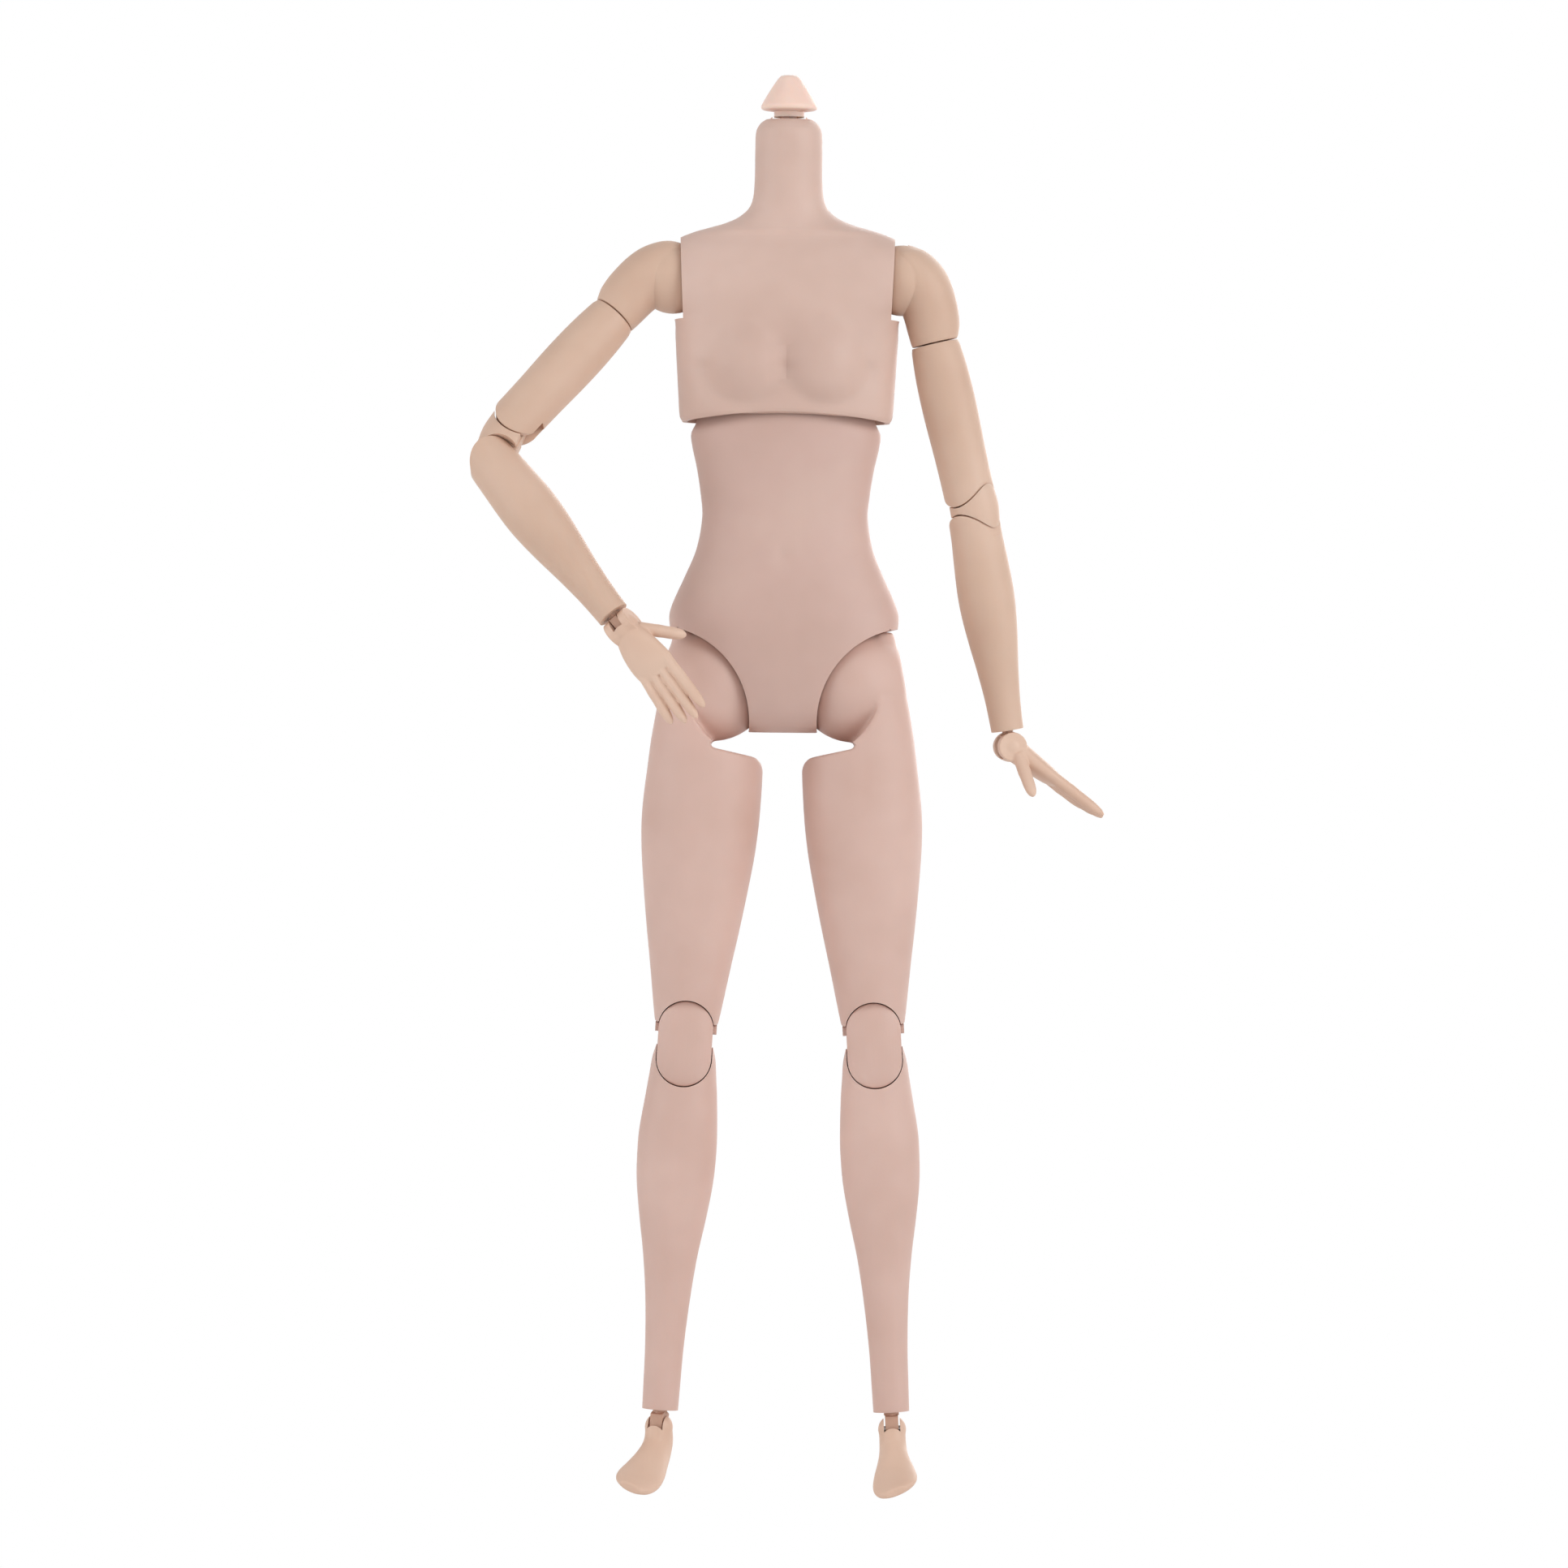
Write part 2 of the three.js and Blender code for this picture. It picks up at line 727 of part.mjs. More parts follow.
function shoulderCapSolid() {
  const rings = capShares.map(([down, out, width, depth]) => ({
    x: out * capHalfWidth,
    y: 0,
    z: -down * capLength,
    width: width * capHalfWidth,
    front: depth * capHalfDepth,
    back: depth * capHalfDepth,
    power: 2,
  }));
  const slot = swingSlot(shoulderTongue + 2 * runningGap, shoulderEye + runningGap, 2 * shoulderBall,
    180 - liftReach, 180, 'y');
  const bore = revolve(pegProfile(bicepsPegRadius, bicepsPegLength, bicepsHeadRadius, bicepsHeadHeight, pinGap));
  return cut(
    join(loft(rings, limbSides), ball(shoulderBall, limbSides)),
    slot,
    bar(shoulderPin + pinGap, 2 * shoulderBall - 4 * shoulderPin, 'y'),
    shift(bore, capOut, 0, -capLength),
  );
}

// Rows: share of the length, sideways, half width, front and back shares of the half width
const upperArmShares = [
  [0, 0, 0.85, 0.86, 0.86],
  [0.04, 0, 0.9, 0.91, 0.91],
  [0.25, 0, 0.98, 0.98, 0.99],
  [0.5, 0, 1, 0.98, 1],
  [0.8, 0, 0.96, 0.93, 0.95],
  [1, 0, 0.95, 0.9, 0.92],
  [1.2, 0, 0.95, 0.9, 0.92],
];
const forearmShares = [
  [-0.14, 0, 0.9, 0.86, 0.88],
  [0, 0, 0.9, 0.88, 0.9],
  [0.1, 0, 0.94, 0.92, 0.95],
  [0.28, 0, 1, 0.95, 0.98],
  [0.4, 0, 0.97, 0.92, 0.94],
  [0.54, 0, 0.87, 0.82, 0.85],
  [0.68, 0, 0.74, 0.7, 0.73],
  [0.83, 0, 0.63, 0.6, 0.62],
  [0.94, 0, 0.585, 0.57, 0.57],
  [1, 0, 0.57, 0.56, 0.56],
];

// Everything beyond a round end: the room outside a cylinder about Y, above or below its axis
function roundEnd(radius, halfWidth, below) {
  const away = below ? -1 : 1;
  const room = toSolid(shift(block(4 * halfWidth, 4 * halfWidth, 2 * halfWidth), 0, 0, away * halfWidth));
  return room.subtract(toSolid(bar(radius, 5 * halfWidth, 'y', cutSides)));
}

function upperArmSolid() {
  const rings = hangingRings(upperArmShares, upperArmLength, upperArmRadius);
  const peg = revolve(pegProfile(bicepsPegRadius, bicepsPegLength, bicepsHeadRadius, bicepsHeadHeight, 0));
  const slot = swingSlot(elbowTongue + 2 * runningGap, elbowEye + runningGap, 2 * elbowRadius,
    -90 - elbowFold, -90, 'y');
  const end = roundEnd(elbowRadius, upperArmRadius, true).translate([0, 0, -upperArmLength]);
  return cut(
    join(loft(rings, armSides), shift(peg, 0, 0, runningGap)).subtract(end),
    shift(slot, 0, 0, -upperArmLength),
    shift(bar(elbowPin + pinGap, 2 * upperArmRadius - 3 * elbowPin, 'y'), 0, 0, -upperArmLength),
  );
}

// Elbow link: the cap behind the elbow, the strip between both round ends, and two tongues
function elbowLinkSolid() {
  const capRings = [
    [0.05, 0.06, 0.9],
    [0.25, 0.08, 0.96],
    [0.5, 0.1, 1],
    [0.75, 0.08, 0.96],
    [0.95, 0.05, 0.9],
  ].map(([down, out, width]) => ({
    x: out * elbowRadius,
    y: 0,
    z: -down * elbowSpacing,
    width: width * elbowRadius,
    front: 0.93 * width * elbowRadius,
    back: 0.96 * width * elbowRadius,
    power: 2,
  }));
  const flexorX = elbowRadius * cos(elbowFold * turn);
  const flexorRoom = block(2 * elbowRadius, 4 * elbowRadius, 2 * elbowSpacing);
  const outer = cut(
    toSolid(loft(capRings, armSides)),
    bar(elbowRadius + runningGap, 4 * elbowRadius, 'y', cutSides),
    shift(bar(forearmTopRadius + runningGap, 4 * elbowRadius, 'y', cutSides), 0, 0, -elbowSpacing),
    shift(flexorRoom, -flexorX - elbowRadius, 0, -elbowSpacing / 2),
  );
  const blade = tongue(elbowTongue, elbowEye, elbowSpacing - elbowRadius, -90, 'y');
  const otherBlade = shift(tongue(elbowTongue, elbowEye, elbowSpacing - elbowRadius, 90, 'y'), 0, 0, -elbowSpacing);
  const hole = () => bar(elbowPin + pinGap, 2 * elbowTongue, 'y');
  return cut(
    outer.add(toSolid(blade)).add(toSolid(otherBlade)),
    hole(),
    shift(hole(), 0, 0, -elbowSpacing),
  );
}

function forearmSolid() {
  const rings = hangingRings(forearmShares, forearmLength, forearmRadius);
  const slot = swingSlot(elbowTongue + 2 * runningGap, elbowEye + runningGap, 2 * elbowRadius,
    90, 90 + elbowFold, 'y');
  const bore = revolve(pegProfile(wristPegRadius, wristPegLength, wristHeadRadius, wristPegRadius, pinGap));
  return cut(
    toSolid(loft(rings, armSides)).subtract(roundEnd(forearmTopRadius, forearmRadius, false)),
    slot,
    bar(elbowPin + pinGap, 2 * forearmRadius - 4 * elbowPin, 'y'),
    shift(bore, 0, 0, -forearmLength),
  );
}

// Wrist peg: turns in the forearm, its eye carries the hand; the origin is the hand's pivot
function wristPegSolid() {
  const peg = revolve(pegProfile(wristPegRadius, wristPegLength, wristHeadRadius, wristPegRadius, 0));
  const blade = tongue(wristTongue, wristEye, wristDrop - seamGap, 90, 'x');
  return cut(join(shift(peg, 0, 0, wristDrop), blade), bar(wristPin + pinGap, 2 * wristTongue, 'x'));
}

// Rows of the palm: share of the palm length, sideways, half width and half depth shares
const palmShares = [
  [-0.02, 0, 0.55, 1.15],
  [0.15, 0, 0.68, 1.25],
  [0.4, 0.04, 0.86, 1.15],
  [0.7, 0.04, 0.98, 1.02],
  [0.95, 0, 1, 0.85],
  [1.12, 0, 0.93, 0.55],
];
// Fingers: share across the palm, length share, spread in degrees
const fingerShares = [
  [-0.72, 0.95, 1],
  [-0.25, 1, 3],
  [0.22, 0.94, 5],
  [0.67, 0.8, 8],
];
const fingerProfileShares = [
  [0, 1, 1],
  [0.6, 0.94, 0.88],
  [0.92, 0.66, 0.62],
  [1, 0.3, 0.3],
];

function digit(length, halfWidth, halfDepth) {
  return loft(fingerProfileShares.map(([down, width, depth]) => ({
    x: 0,
    y: 0,
    z: -down * length,
    width: width * halfWidth,
    front: depth * halfDepth,
    back: depth * halfDepth,
    power: 2,
  })), digitSides);
}

// Hand: across the palm is X with the thumb at -X, the back of the hand is -Y, the origin is the wrist pivot
function handSolid() {
  const palmRings = palmShares.map(([down, out, width, depth]) => ({
    x: out * palmHalfWidth,
    y: 0,
    z: -down * palmLength,
    width: width * palmHalfWidth,
    front: depth * palmHalfDepth,
    back: depth * palmHalfDepth,
    power: 2.3,
  }));
  const barrel = bar(0.94 * wristRadius, 2 * wristHalfWidth, 'x', jointSides);
  let solid = join(ball(wristRadius, jointSides), barrel, loft(palmRings, jointSides));
  const fingerLength = handLength - palmLength;
  for (const [across, length, spread] of fingerShares) {
    const finger = digit(length * fingerLength + palmHalfDepth, fingerHalfWidth, fingerHalfDepth);
    finger.rotateY(-spread * turn);
    shift(finger, across * palmHalfWidth, 0, palmHalfDepth - palmLength);
    solid = solid.add(toSolid(finger));
  }
  const thumb = digit(thumbLength, thumbHalfWidth, thumbHalfDepth);
  thumb.rotateX(thumbDip * turn).rotateY(thumbSplay * turn);
  shift(thumb, -0.5 * palmHalfWidth, palmHalfDepth / 3, -0.18 * palmLength);
  solid = solid.add(toSolid(thumb));
  const slot = swingSlot(wristTongue + 2 * runningGap, wristEye + runningGap, 2 * wristRadius,
    90 - wristReach, 90 + wristReach, 'x');
  return cut(solid, slot, bar(wristPin + pinGap, 2 * wristRadius - wristPin, 'x'));
}

// Thigh
// Rows: share of the length below the hip, sideways, half width, front and back shares
const thighShares = [
  [-0.15, 0.28, 0.43, 0.38, 0.4],
  [-0.087, 0.18, 0.6, 0.66, 0.7],
  [0, 0.09, 0.8, 0.86, 0.93],
  [0.1, 0.06, 0.93, 0.97, 1.03],
  [0.2, 0.057, 0.985, 1, 1.07],
  [0.37, 0.057, 0.995, 1, 1.05],
  [0.485, 0.057, 0.96, 0.96, 1],
  [0.6, 0.057, 0.88, 0.88, 0.93],
  [0.71, 0.057, 0.79, 0.8, 0.85],
  [0.83, 0.057, 0.68, 0.7, 0.76],
  [0.94, 0.057, 0.585, 0.62, 0.66],
  [1, 0.057, 0.53, 0.58, 0.61],
];

// The notch above the inner lobe of the thigh, cut straight through under the hip ball
function lobeRoom() {
  const inner = thighHalfWidth + cutOverrun;
  const depth = 4 * thighHalfWidth;
  const tip = hipBall + thighNotchRadius;
  const shape = new THREE.Shape();
  shape.moveTo(-runningGap, thighHalfWidth);
  shape.lineTo(-inner, thighHalfWidth);
  shape.lineTo(-inner, -thighNotch);
  shape.lineTo(0, -tip - thighNotchRadius);
  shape.absarc(0, -tip, thighNotchRadius, -PI / 2, PI / 2, false);
  shape.lineTo(-runningGap, -hipBall);
  const notch = new THREE.ExtrudeGeometry(shape, { depth, bevelEnabled: false, curveSegments: slotSteps });
  return notch.translate(0, 0, -depth / 2).rotateX(PI / 2);
}

// The wedge behind a knee that folds away, with its edge near the pivot
function foldRoom(radius, below) {
  const size = 6 * radius;
  const room = block(size, size, size).translate(0, size / 2, 0).rotateX(-(90 - kneeFold) * turn);
  const distance = kneeSpacing / 2 - runningGap;
  room.translate(0, distance * sin(kneeFold * turn), -distance * cos(kneeFold * turn));
  if (!below) room.rotateY(PI);
  return room;
}

function kneeSocket() {
  return spheroid(kneeHalfWidth + runningGap, kneeRadius + runningGap, kneeRadius + runningGap, ballSides);
}

// The arched window that shows the kneecap, open downwards for the thigh and upwards for the calf
function kneeWindow(open) {
  const halfWidth = kneecapHalfWidth + runningGap;
  const arch = bar(halfWidth, 2 * thighHalfWidth, 'y', limbSides);
  const reach = 3 * halfWidth;
  const room = block(2 * halfWidth, 2 * thighHalfWidth, reach).translate(0, 0, (open * reach) / 2);
  const window = toSolid(arch).add(toSolid(room));
  return window.intersect(toSolid(block(reach, 2 * thighHalfWidth, 4 * reach).translate(0, -thighHalfWidth, 0)));
}

function thighSolid() {
  const rings = hangingRings(thighShares, thighLength, thighHalfWidth, 2.1);
  const slot = swingSlot(2 * (hipSwivelRadius + runningGap), hipSwivelRadius + runningGap, 2 * hipBall,
    180 - spreadReach, 180 + closeReach, 'y');
  const leg = cut(toSolid(loft(rings, limbSides)), lobeRoom());
  const trimmed = leg.subtract(cornerTrim());
  const corner = trimmed.add(toSolid(ball(hipBall, ballSides)));
  const knee = [thighOut, 0, -kneeDrop];
  const folded = toSolid(foldRoom(kneeRadius, true)).translate(knee);
  return cut(
    corner.subtract(folded).subtract(kneeWindow(-1).translate(knee)),
    slot,
    bar(hipPin + pinGap, 2 * (hipBall - 2 * hipPin), 'y'),
    shift(kneeSocket(), ...knee),
    shift(bar(kneePin + pinGap, 2 * (kneeHalfWidth + kneePin), 'x'), ...knee),
  );
}

// Trims the thigh's upper outer corner to what clears the shell, but near the middle plane
function cornerTrim() {
  const size = 4 * thighHalfWidth;
  const above = toSolid(block(size, size, size).translate(0, 0, size / 2));
  const middle = toSolid(bar(hipCorner, 2 * hipCornerHalfDepth, 'y', cutSides));
  return above.subtract(middle).subtract(toSolid(ball(hipBall, ballSides)));
}

// Hip swivel: a sleeve that turns on the hip shaft, with the eye that the thigh is pinned to
function hipSwivelSolid() {
  const sleeve = bar(hipSwivelRadius, hipSwivelReach - hipEye, 'x', ballSides);
  shift(sleeve, -(hipSwivelReach + hipEye) / 2, 0, 0);
  const blade = tongue(hipTongue, hipEye, hipEye + hipPin, 180, 'y');
  const shaftEnd = hipX - hipShaftHalfLength;
  const bore = bar(hipShaftRadius + pinGap, hipSwivelReach, 'x');
  const headRoom = bar(hipShaftHead + pinGap, hipShaftHeadLength + 2 * runningGap, 'x');
  return cut(
    join(sleeve, blade),
    shift(bore, -hipSwivelReach / 2 - shaftEnd + runningGap, 0, 0),
    shift(headRoom, -shaftEnd + hipShaftHeadLength / 2, 0, 0),
    bar(hipPin + pinGap, 2 * hipTongue, 'y'),
  );
}

// Knee link: two round ends, the kneecap between them and both pivot holes; the origin is the upper pivot
function kneeLinkSolid() {
  const upper = spheroid(kneeHalfWidth, kneeRadius, kneeRadius, jointSides);
  const lower = shift(upper.clone(), 0, 0, -kneeSpacing);
  const capRings = [
    [-1, 1.1, 0.84],
    [-0.4, 1.3, 0.96],
    [0.5, 1.35, 1.02],
    [1.4, 1.3, 0.96],
    [2, 1.1, 0.84],
  ].map(([down, width, front]) => ({
    x: 0,
    y: 0,
    z: -down * kneeSpacing,
    width: width * kneecapHalfWidth,
    front: front * (kneeRadius + kneecapBulge),
    back: kneecapStart,
    power: 2.4,
  }));
  const reach = 2 * (kneeRadius + kneecapBulge);
  const plate = toSolid(bar(kneecapHalfWidth, reach, 'y', ballSides))
    .add(toSolid(block(2 * kneecapHalfWidth, reach, kneeSpacing).translate(0, 0, -kneeSpacing / 2)))
    .add(toSolid(shift(bar(kneecapHalfWidth, reach, 'y', ballSides), 0, 0, -kneeSpacing)))
    .translate([0, -reach / 2 - kneecapStart, 0]);
  const kneecap = toSolid(loft(capRings, jointSides)).intersect(plate);
  const hole = () => bar(kneePin + pinGap, 4 * kneeHalfWidth, 'x');
  return cut(join(upper, lower).add(kneecap), hole(), shift(hole(), 0, 0, -kneeSpacing));
}

// Calf, from the lower knee pivot down to the ankle seam
const calfShares = [
  [-0.035, 0, 0.72, 0.78, 0.82],
  [0, 0, 0.8, 0.84, 0.9],
  [0.05, 0, 0.85, 0.88, 1],
  [0.1, 0, 0.9, 0.88, 1.1],
  [0.21, 0.02, 0.99, 0.86, 1.22],
  [0.27, 0.02, 1, 0.84, 1.22],
  [0.35, 0.02, 0.97, 0.8, 1.14],
  [0.45, 0.015, 0.85, 0.72, 0.95],
  [0.56, 0.01, 0.69, 0.62, 0.74],
  [0.68, 0, 0.57, 0.53, 0.58],
  [0.82, 0, 0.49, 0.48, 0.5],
  [0.94, 0, 0.465, 0.47, 0.48],
  [1, 0, 0.455, 0.46, 0.47],
];

function calfSolid() {
  const rings = hangingRings(calfShares, calfLength, calfHalfWidth, 2);
  const folded = toSolid(foldRoom(kneeRadius, false));
  const bore = revolve(pegProfile(anklePegRadius, anklePegLength, ankleHeadRadius, ankleHeadHeight, pinGap));
  return cut(
    toSolid(loft(rings, limbSides)).subtract(folded).subtract(kneeWindow(1)),
    kneeSocket(),
    bar(kneePin + pinGap, 2 * (kneeHalfWidth + kneePin / 2), 'x'),
    shift(bore, 0, 0, -calfLength),
  );
}

// Ankle link: a peg that turns in the calf, its eye carries the foot; the origin is the foot's pivot
function ankleLinkSolid() {
  const peg = revolve(pegProfile(anklePegRadius, anklePegLength, ankleHeadRadius, ankleHeadHeight, 0));
  const blade = tongue(ankleTongue, ankleEye, ankleDrop - seamGap, 90, 'x');
  return cut(join(shift(peg, 0, 0, ankleDrop), blade), bar(anklePin + pinGap, 2 * ankleTongue, 'x'));
}

// Foot sections along the arch: drop and reach shares, half width, half thickness shares, pitch in degrees
const footShares = [
  [0, 0, 0.6, 0.7, 0],
  [0.2, -0.03, 0.6, 0.96, 8],
  [0.38, 0.05, 0.64, 1, 26],
  [0.53, 0.2, 0.76, 0.86, 42],
  [0.68, 0.42, 0.94, 0.66, 56],
  [0.79, 0.66, 1, 0.47, 68],
  [0.86, 0.86, 0.82, 0.34, 77],
  [0.89, 0.97, 0.48, 0.22, 84],
];

// Drops the inner side of the toes below the outer side
function slopeToes(geometry) {
  const position = geometry.attributes.position;
  for (let i = 0; i < position.count; i += 1) {
    const forward = Math.max(0, -position.getY(i) / footReach);
    position.setZ(i, position.getZ(i) + toeSlope * position.getX(i) * forward);
  }
  return geometry;
}

function footSolid() {
  const rings = footShares.map(([drop, reach, width, depth, pitch]) => ({
    x: 0,
    y: -reach * footReach,
    z: -drop * footDrop,
    width: width * footHalfWidth,
    front: depth * footHalfDepth,
    back: depth * footHalfDepth,
    power: 2.2,
    pitch: pitch * turn,
  }));
  const slot = swingSlot(ankleTongue + 2 * runningGap, ankleEye + runningGap, 2 * ankleRadius,
    90 - ankleReach, 90 + ankleReach, 'x');
  return cut(
    join(ball(ankleRadius, jointSides), slopeToes(loft(rings, armSides))),
    slot,
    bar(anklePin + pinGap, 2 * (ankleRadius - anklePin), 'x'),
  );
}

// A leg, from the hip swivel down
function addLeg(root, side, label, pose) {
  const swing = pivot(root, hipX, 0, -waistToHip, 'x', pose.legSwing, side);
  piece(swing, `hip_swivel_${label}`, hipSwivelSolid(), plastic(innerColour), side);
  const thigh = pivot(swing, 0, 0, 0, 'y', -pose.legSpread, side);
  piece(thigh, `hip_pin_${label}`, toSolid(bar(hipPin, 2 * (hipBall - 2 * hipPin - pinGap), 'y')), steel(), side);
  piece(thigh, `thigh_${label}`, thighSolid(), plastic(skinColour), side);
  const kneePinSolid = (length) => toSolid(bar(kneePin, 2 * length, 'x'));
  const kneeTop = pivot(thigh, thighOut, 0, -kneeDrop, 'x', pose.kneeTop, side);
  piece(kneeTop, `knee_link_${label}`, kneeLinkSolid(), plastic(limbColour), side);
  piece(kneeTop, `knee_pin_upper_${label}`, kneePinSolid(kneeHalfWidth + kneePin - pinGap), steel(), side);
  const lowerPin = shift(bar(kneePin, 2 * (kneeHalfWidth + kneePin / 2 - pinGap), 'x'), 0, 0, -kneeSpacing);
  piece(kneeTop, `knee_pin_lower_${label}`, toSolid(lowerPin), steel(), side);
  const calf = pivot(kneeTop, 0, 0, -kneeSpacing, 'x', pose.kneeLow, side);
  piece(calf, `calf_${label}`, calfSolid(), plastic(skinColour), side);
  const ankle = pivot(calf, 0, 0, -calfLength - ankleDrop, 'z', pose.ankleTurn, side);
  piece(ankle, `ankle_link_${label}`, ankleLinkSolid(), plastic(innerColour), side);
  const foot = pivot(ankle, 0, 0, 0, 'x', pose.ankleBend, side);
  piece(foot, `ankle_pin_${label}`, toSolid(bar(anklePin, 2 * (ankleRadius - anklePin - pinGap), 'x')), steel(), side);
  piece(foot, `foot_${label}`, footSolid(), plastic(limbColour), side);
}

// An arm, from the shoulder T-joint down
function addArm(chest, side, label, pose) {
  const shoulderZ = shoulderHeight - spinePivotToChestEdge;
  const swing = pivot(chest, shoulderX, 0, shoulderZ, 'x', pose.swing, side);
  piece(swing, `shoulder_joint_${label}`, shoulderJointSolid(), plastic(innerColour), side);
  const cap = pivot(swing, 0, 0, 0, 'y', -pose.lift, side);
  const capPin = bar(shoulderPin, 2 * (shoulderBall - 2 * shoulderPin - pinGap), 'y');
  piece(cap, `shoulder_pin_${label}`, toSolid(capPin), steel(), side);
  piece(cap, `shoulder_cap_${label}`, shoulderCapSolid(), plastic(skinColour), side);
  const upper = pivot(cap, capOut, 0, -capLength - runningGap, 'z', -pose.biceps, side);
  piece(upper, `upper_arm_${label}`, upperArmSolid(), plastic(skinColour), side);
  const upperPin = bar(elbowPin, 2 * (upperArmRadius - 1.5 * elbowPin - pinGap), 'y');
  piece(upper, `elbow_pin_upper_${label}`, toSolid(shift(upperPin, 0, 0, -upperArmLength)), steel(), side);
  const elbow = pivot(upper, 0, 0, -upperArmLength, 'y', pose.elbowTop, side);
  piece(elbow, `elbow_link_${label}`, elbowLinkSolid(), plastic(skinColour), side);
  const forearm = pivot(elbow, 0, 0, -elbowSpacing, 'y', pose.elbowLow, side);
  const lowerPin = bar(elbowPin, 2 * (forearmRadius - 2 * elbowPin - pinGap), 'y');
  piece(forearm, `elbow_pin_lower_${label}`, toSolid(lowerPin), steel(), side);
  piece(forearm, `forearm_${label}`, forearmSolid(), plastic(skinColour), side);
  const wrist = pivot(forearm, 0, 0, -forearmLength - wristDrop, 'z', -pose.wristTurn, side);
  piece(wrist, `wrist_peg_${label}`, wristPegSolid(), plastic(innerColour), side);
  const hand = pivot(wrist, 0, 0, 0, 'x', pose.wristBend, side);
  piece(hand, `wrist_pin_${label}`, toSolid(bar(wristPin, 2 * (wristRadius - wristPin), 'x')), steel(), side);
  piece(hand, `hand_${label}`, handSolid(), plastic(limbColour), side);
}

const doll = new THREE.Group();
const [pelvisFront, pelvisBack] = halves(pelvisSolid());
piece(doll, 'pelvis_front', pelvisFront, plastic(skinColour));
piece(doll, 'pelvis_back', pelvisBack, plastic(skinColour));

const hipHead = () => bar(hipShaftHead, hipShaftHeadLength, 'x');
const hipShaft = join(
  bar(hipShaftRadius, 2 * hipShaftHalfLength, 'x'),
  shift(hipHead(), hipShaftHalfLength + hipShaftHeadLength / 2, 0, 0),
  shift(hipHead(), -hipShaftHalfLength - hipShaftHeadLength / 2, 0, 0),
);
piece(doll, 'hip_shaft', hipShaft.translate([0, 0, -waistToHip]), steel());

const spine = pivot(doll, 0, 0, waistToSpinePivot, 'z', 0);
piece(spine, 'spine_post', postSolid(), plastic(innerColour));
const chest = pivot(spine, 0, 0, 0, 'x', 0);
piece(chest, 'spine_pin', toSolid(bar(spinePinRadius, spinePinLength, 'x')), steel());
const [chestFront, chestBack] = halves(chestSolid());
piece(chest, 'chest_front', chestFront, plastic(skinColour));
piece(chest, 'chest_back', chestBack, plastic(skinColour));

const neckPivotZ = chestHeight + neckHeight - spinePivotToChestEdge - neckPivotDrop;
const collar = pivot(chest, 0, 0, neckPivotZ, 'z', 0);
piece(collar, 'neck_collar', collarSolid(), plastic(pegColour));
const neckPin = bar(neckPinRadius, 2 * (collarRadius - pinGap), 'x');
piece(collar, 'neck_pin', toSolid(neckPin), steel());
const knob = pivot(collar, 0, 0, 0, 'x', 0);
piece(knob, 'neck_knob', knobSolid(), plastic(pegColour, 0.35));

addArm(chest, 1, 'left', leftPose);
addArm(chest, -1, 'right', rightPose);
addLeg(doll, 1, 'left', leftPose);
addLeg(doll, -1, 'right', rightPose);

export default doll;
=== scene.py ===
# Jointed doll body in moulded plastic, dressed for the camera
from math import asin, atan2, ceil, cos, exp, hypot, pi, radians, sin, sqrt

import bpy
import numpy as np
from mathutils import Matrix, Vector


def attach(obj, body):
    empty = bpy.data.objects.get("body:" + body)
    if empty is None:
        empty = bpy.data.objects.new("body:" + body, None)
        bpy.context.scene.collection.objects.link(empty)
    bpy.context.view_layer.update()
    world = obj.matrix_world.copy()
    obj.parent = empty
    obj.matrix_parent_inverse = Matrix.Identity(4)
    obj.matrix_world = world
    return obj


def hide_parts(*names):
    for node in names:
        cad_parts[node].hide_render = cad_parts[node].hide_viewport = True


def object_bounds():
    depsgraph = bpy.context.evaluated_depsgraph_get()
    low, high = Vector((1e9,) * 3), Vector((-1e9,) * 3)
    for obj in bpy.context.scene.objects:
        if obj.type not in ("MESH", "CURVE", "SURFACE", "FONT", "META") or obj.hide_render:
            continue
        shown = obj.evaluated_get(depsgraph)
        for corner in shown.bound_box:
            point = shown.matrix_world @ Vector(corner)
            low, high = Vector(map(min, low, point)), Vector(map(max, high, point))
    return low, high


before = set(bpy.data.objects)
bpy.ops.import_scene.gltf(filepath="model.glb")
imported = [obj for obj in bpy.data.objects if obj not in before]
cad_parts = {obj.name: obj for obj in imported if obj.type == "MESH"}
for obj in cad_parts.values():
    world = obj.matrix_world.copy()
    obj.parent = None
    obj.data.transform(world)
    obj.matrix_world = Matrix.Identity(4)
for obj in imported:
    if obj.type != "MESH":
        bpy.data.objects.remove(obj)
cad_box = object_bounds()
MM = 0.001

# Fits that every piece shares, in millimetres as in the solids
RUNNING_GAP = 0.3
SEAM_GAP = 0.35
PIN_GAP = 0.22
CUT_OVERRUN = 6
LIP = 0.32
FINE_LIP = 0.12
LIP_ANGLE = 38
WELD_REACH = 0.005
SPLIT_GAP = 0.03
SPLIT_REACH = 0.0001

# Torso
WAIST_HALF_WIDTH = 15.3
TORSO_HALF_DEPTH = 9
HIP_HALF_WIDTH = 21.2
PELVIS_HALF_DEPTH = 11.6
WAIST_TO_CROTCH = 39.7
WAIST_TO_HIP = 30.8
WAIST_TO_ABDOMEN_TOP = 15.4
ABDOMEN_DOME = 5.4
ABDOMEN_TOP_HALF_WIDTH = 17.5
NAVEL_RADIUS = 1.3
NAVEL_STRETCH = 1.5
NAVEL_DROP = 7.5
NAVEL_DEPTH = 0.75
BELLY_LINE_RADIUS = 2.6
BELLY_LINE_HEIGHT = 4
BELLY_LINE_REACH = 9
BELLY_LINE_DEPTH = 0.16
FRONT_LIFT = 1.6
FRONT_LIFT_FADE = 0.65
LEG_OPENING_RADIUS = 17.6
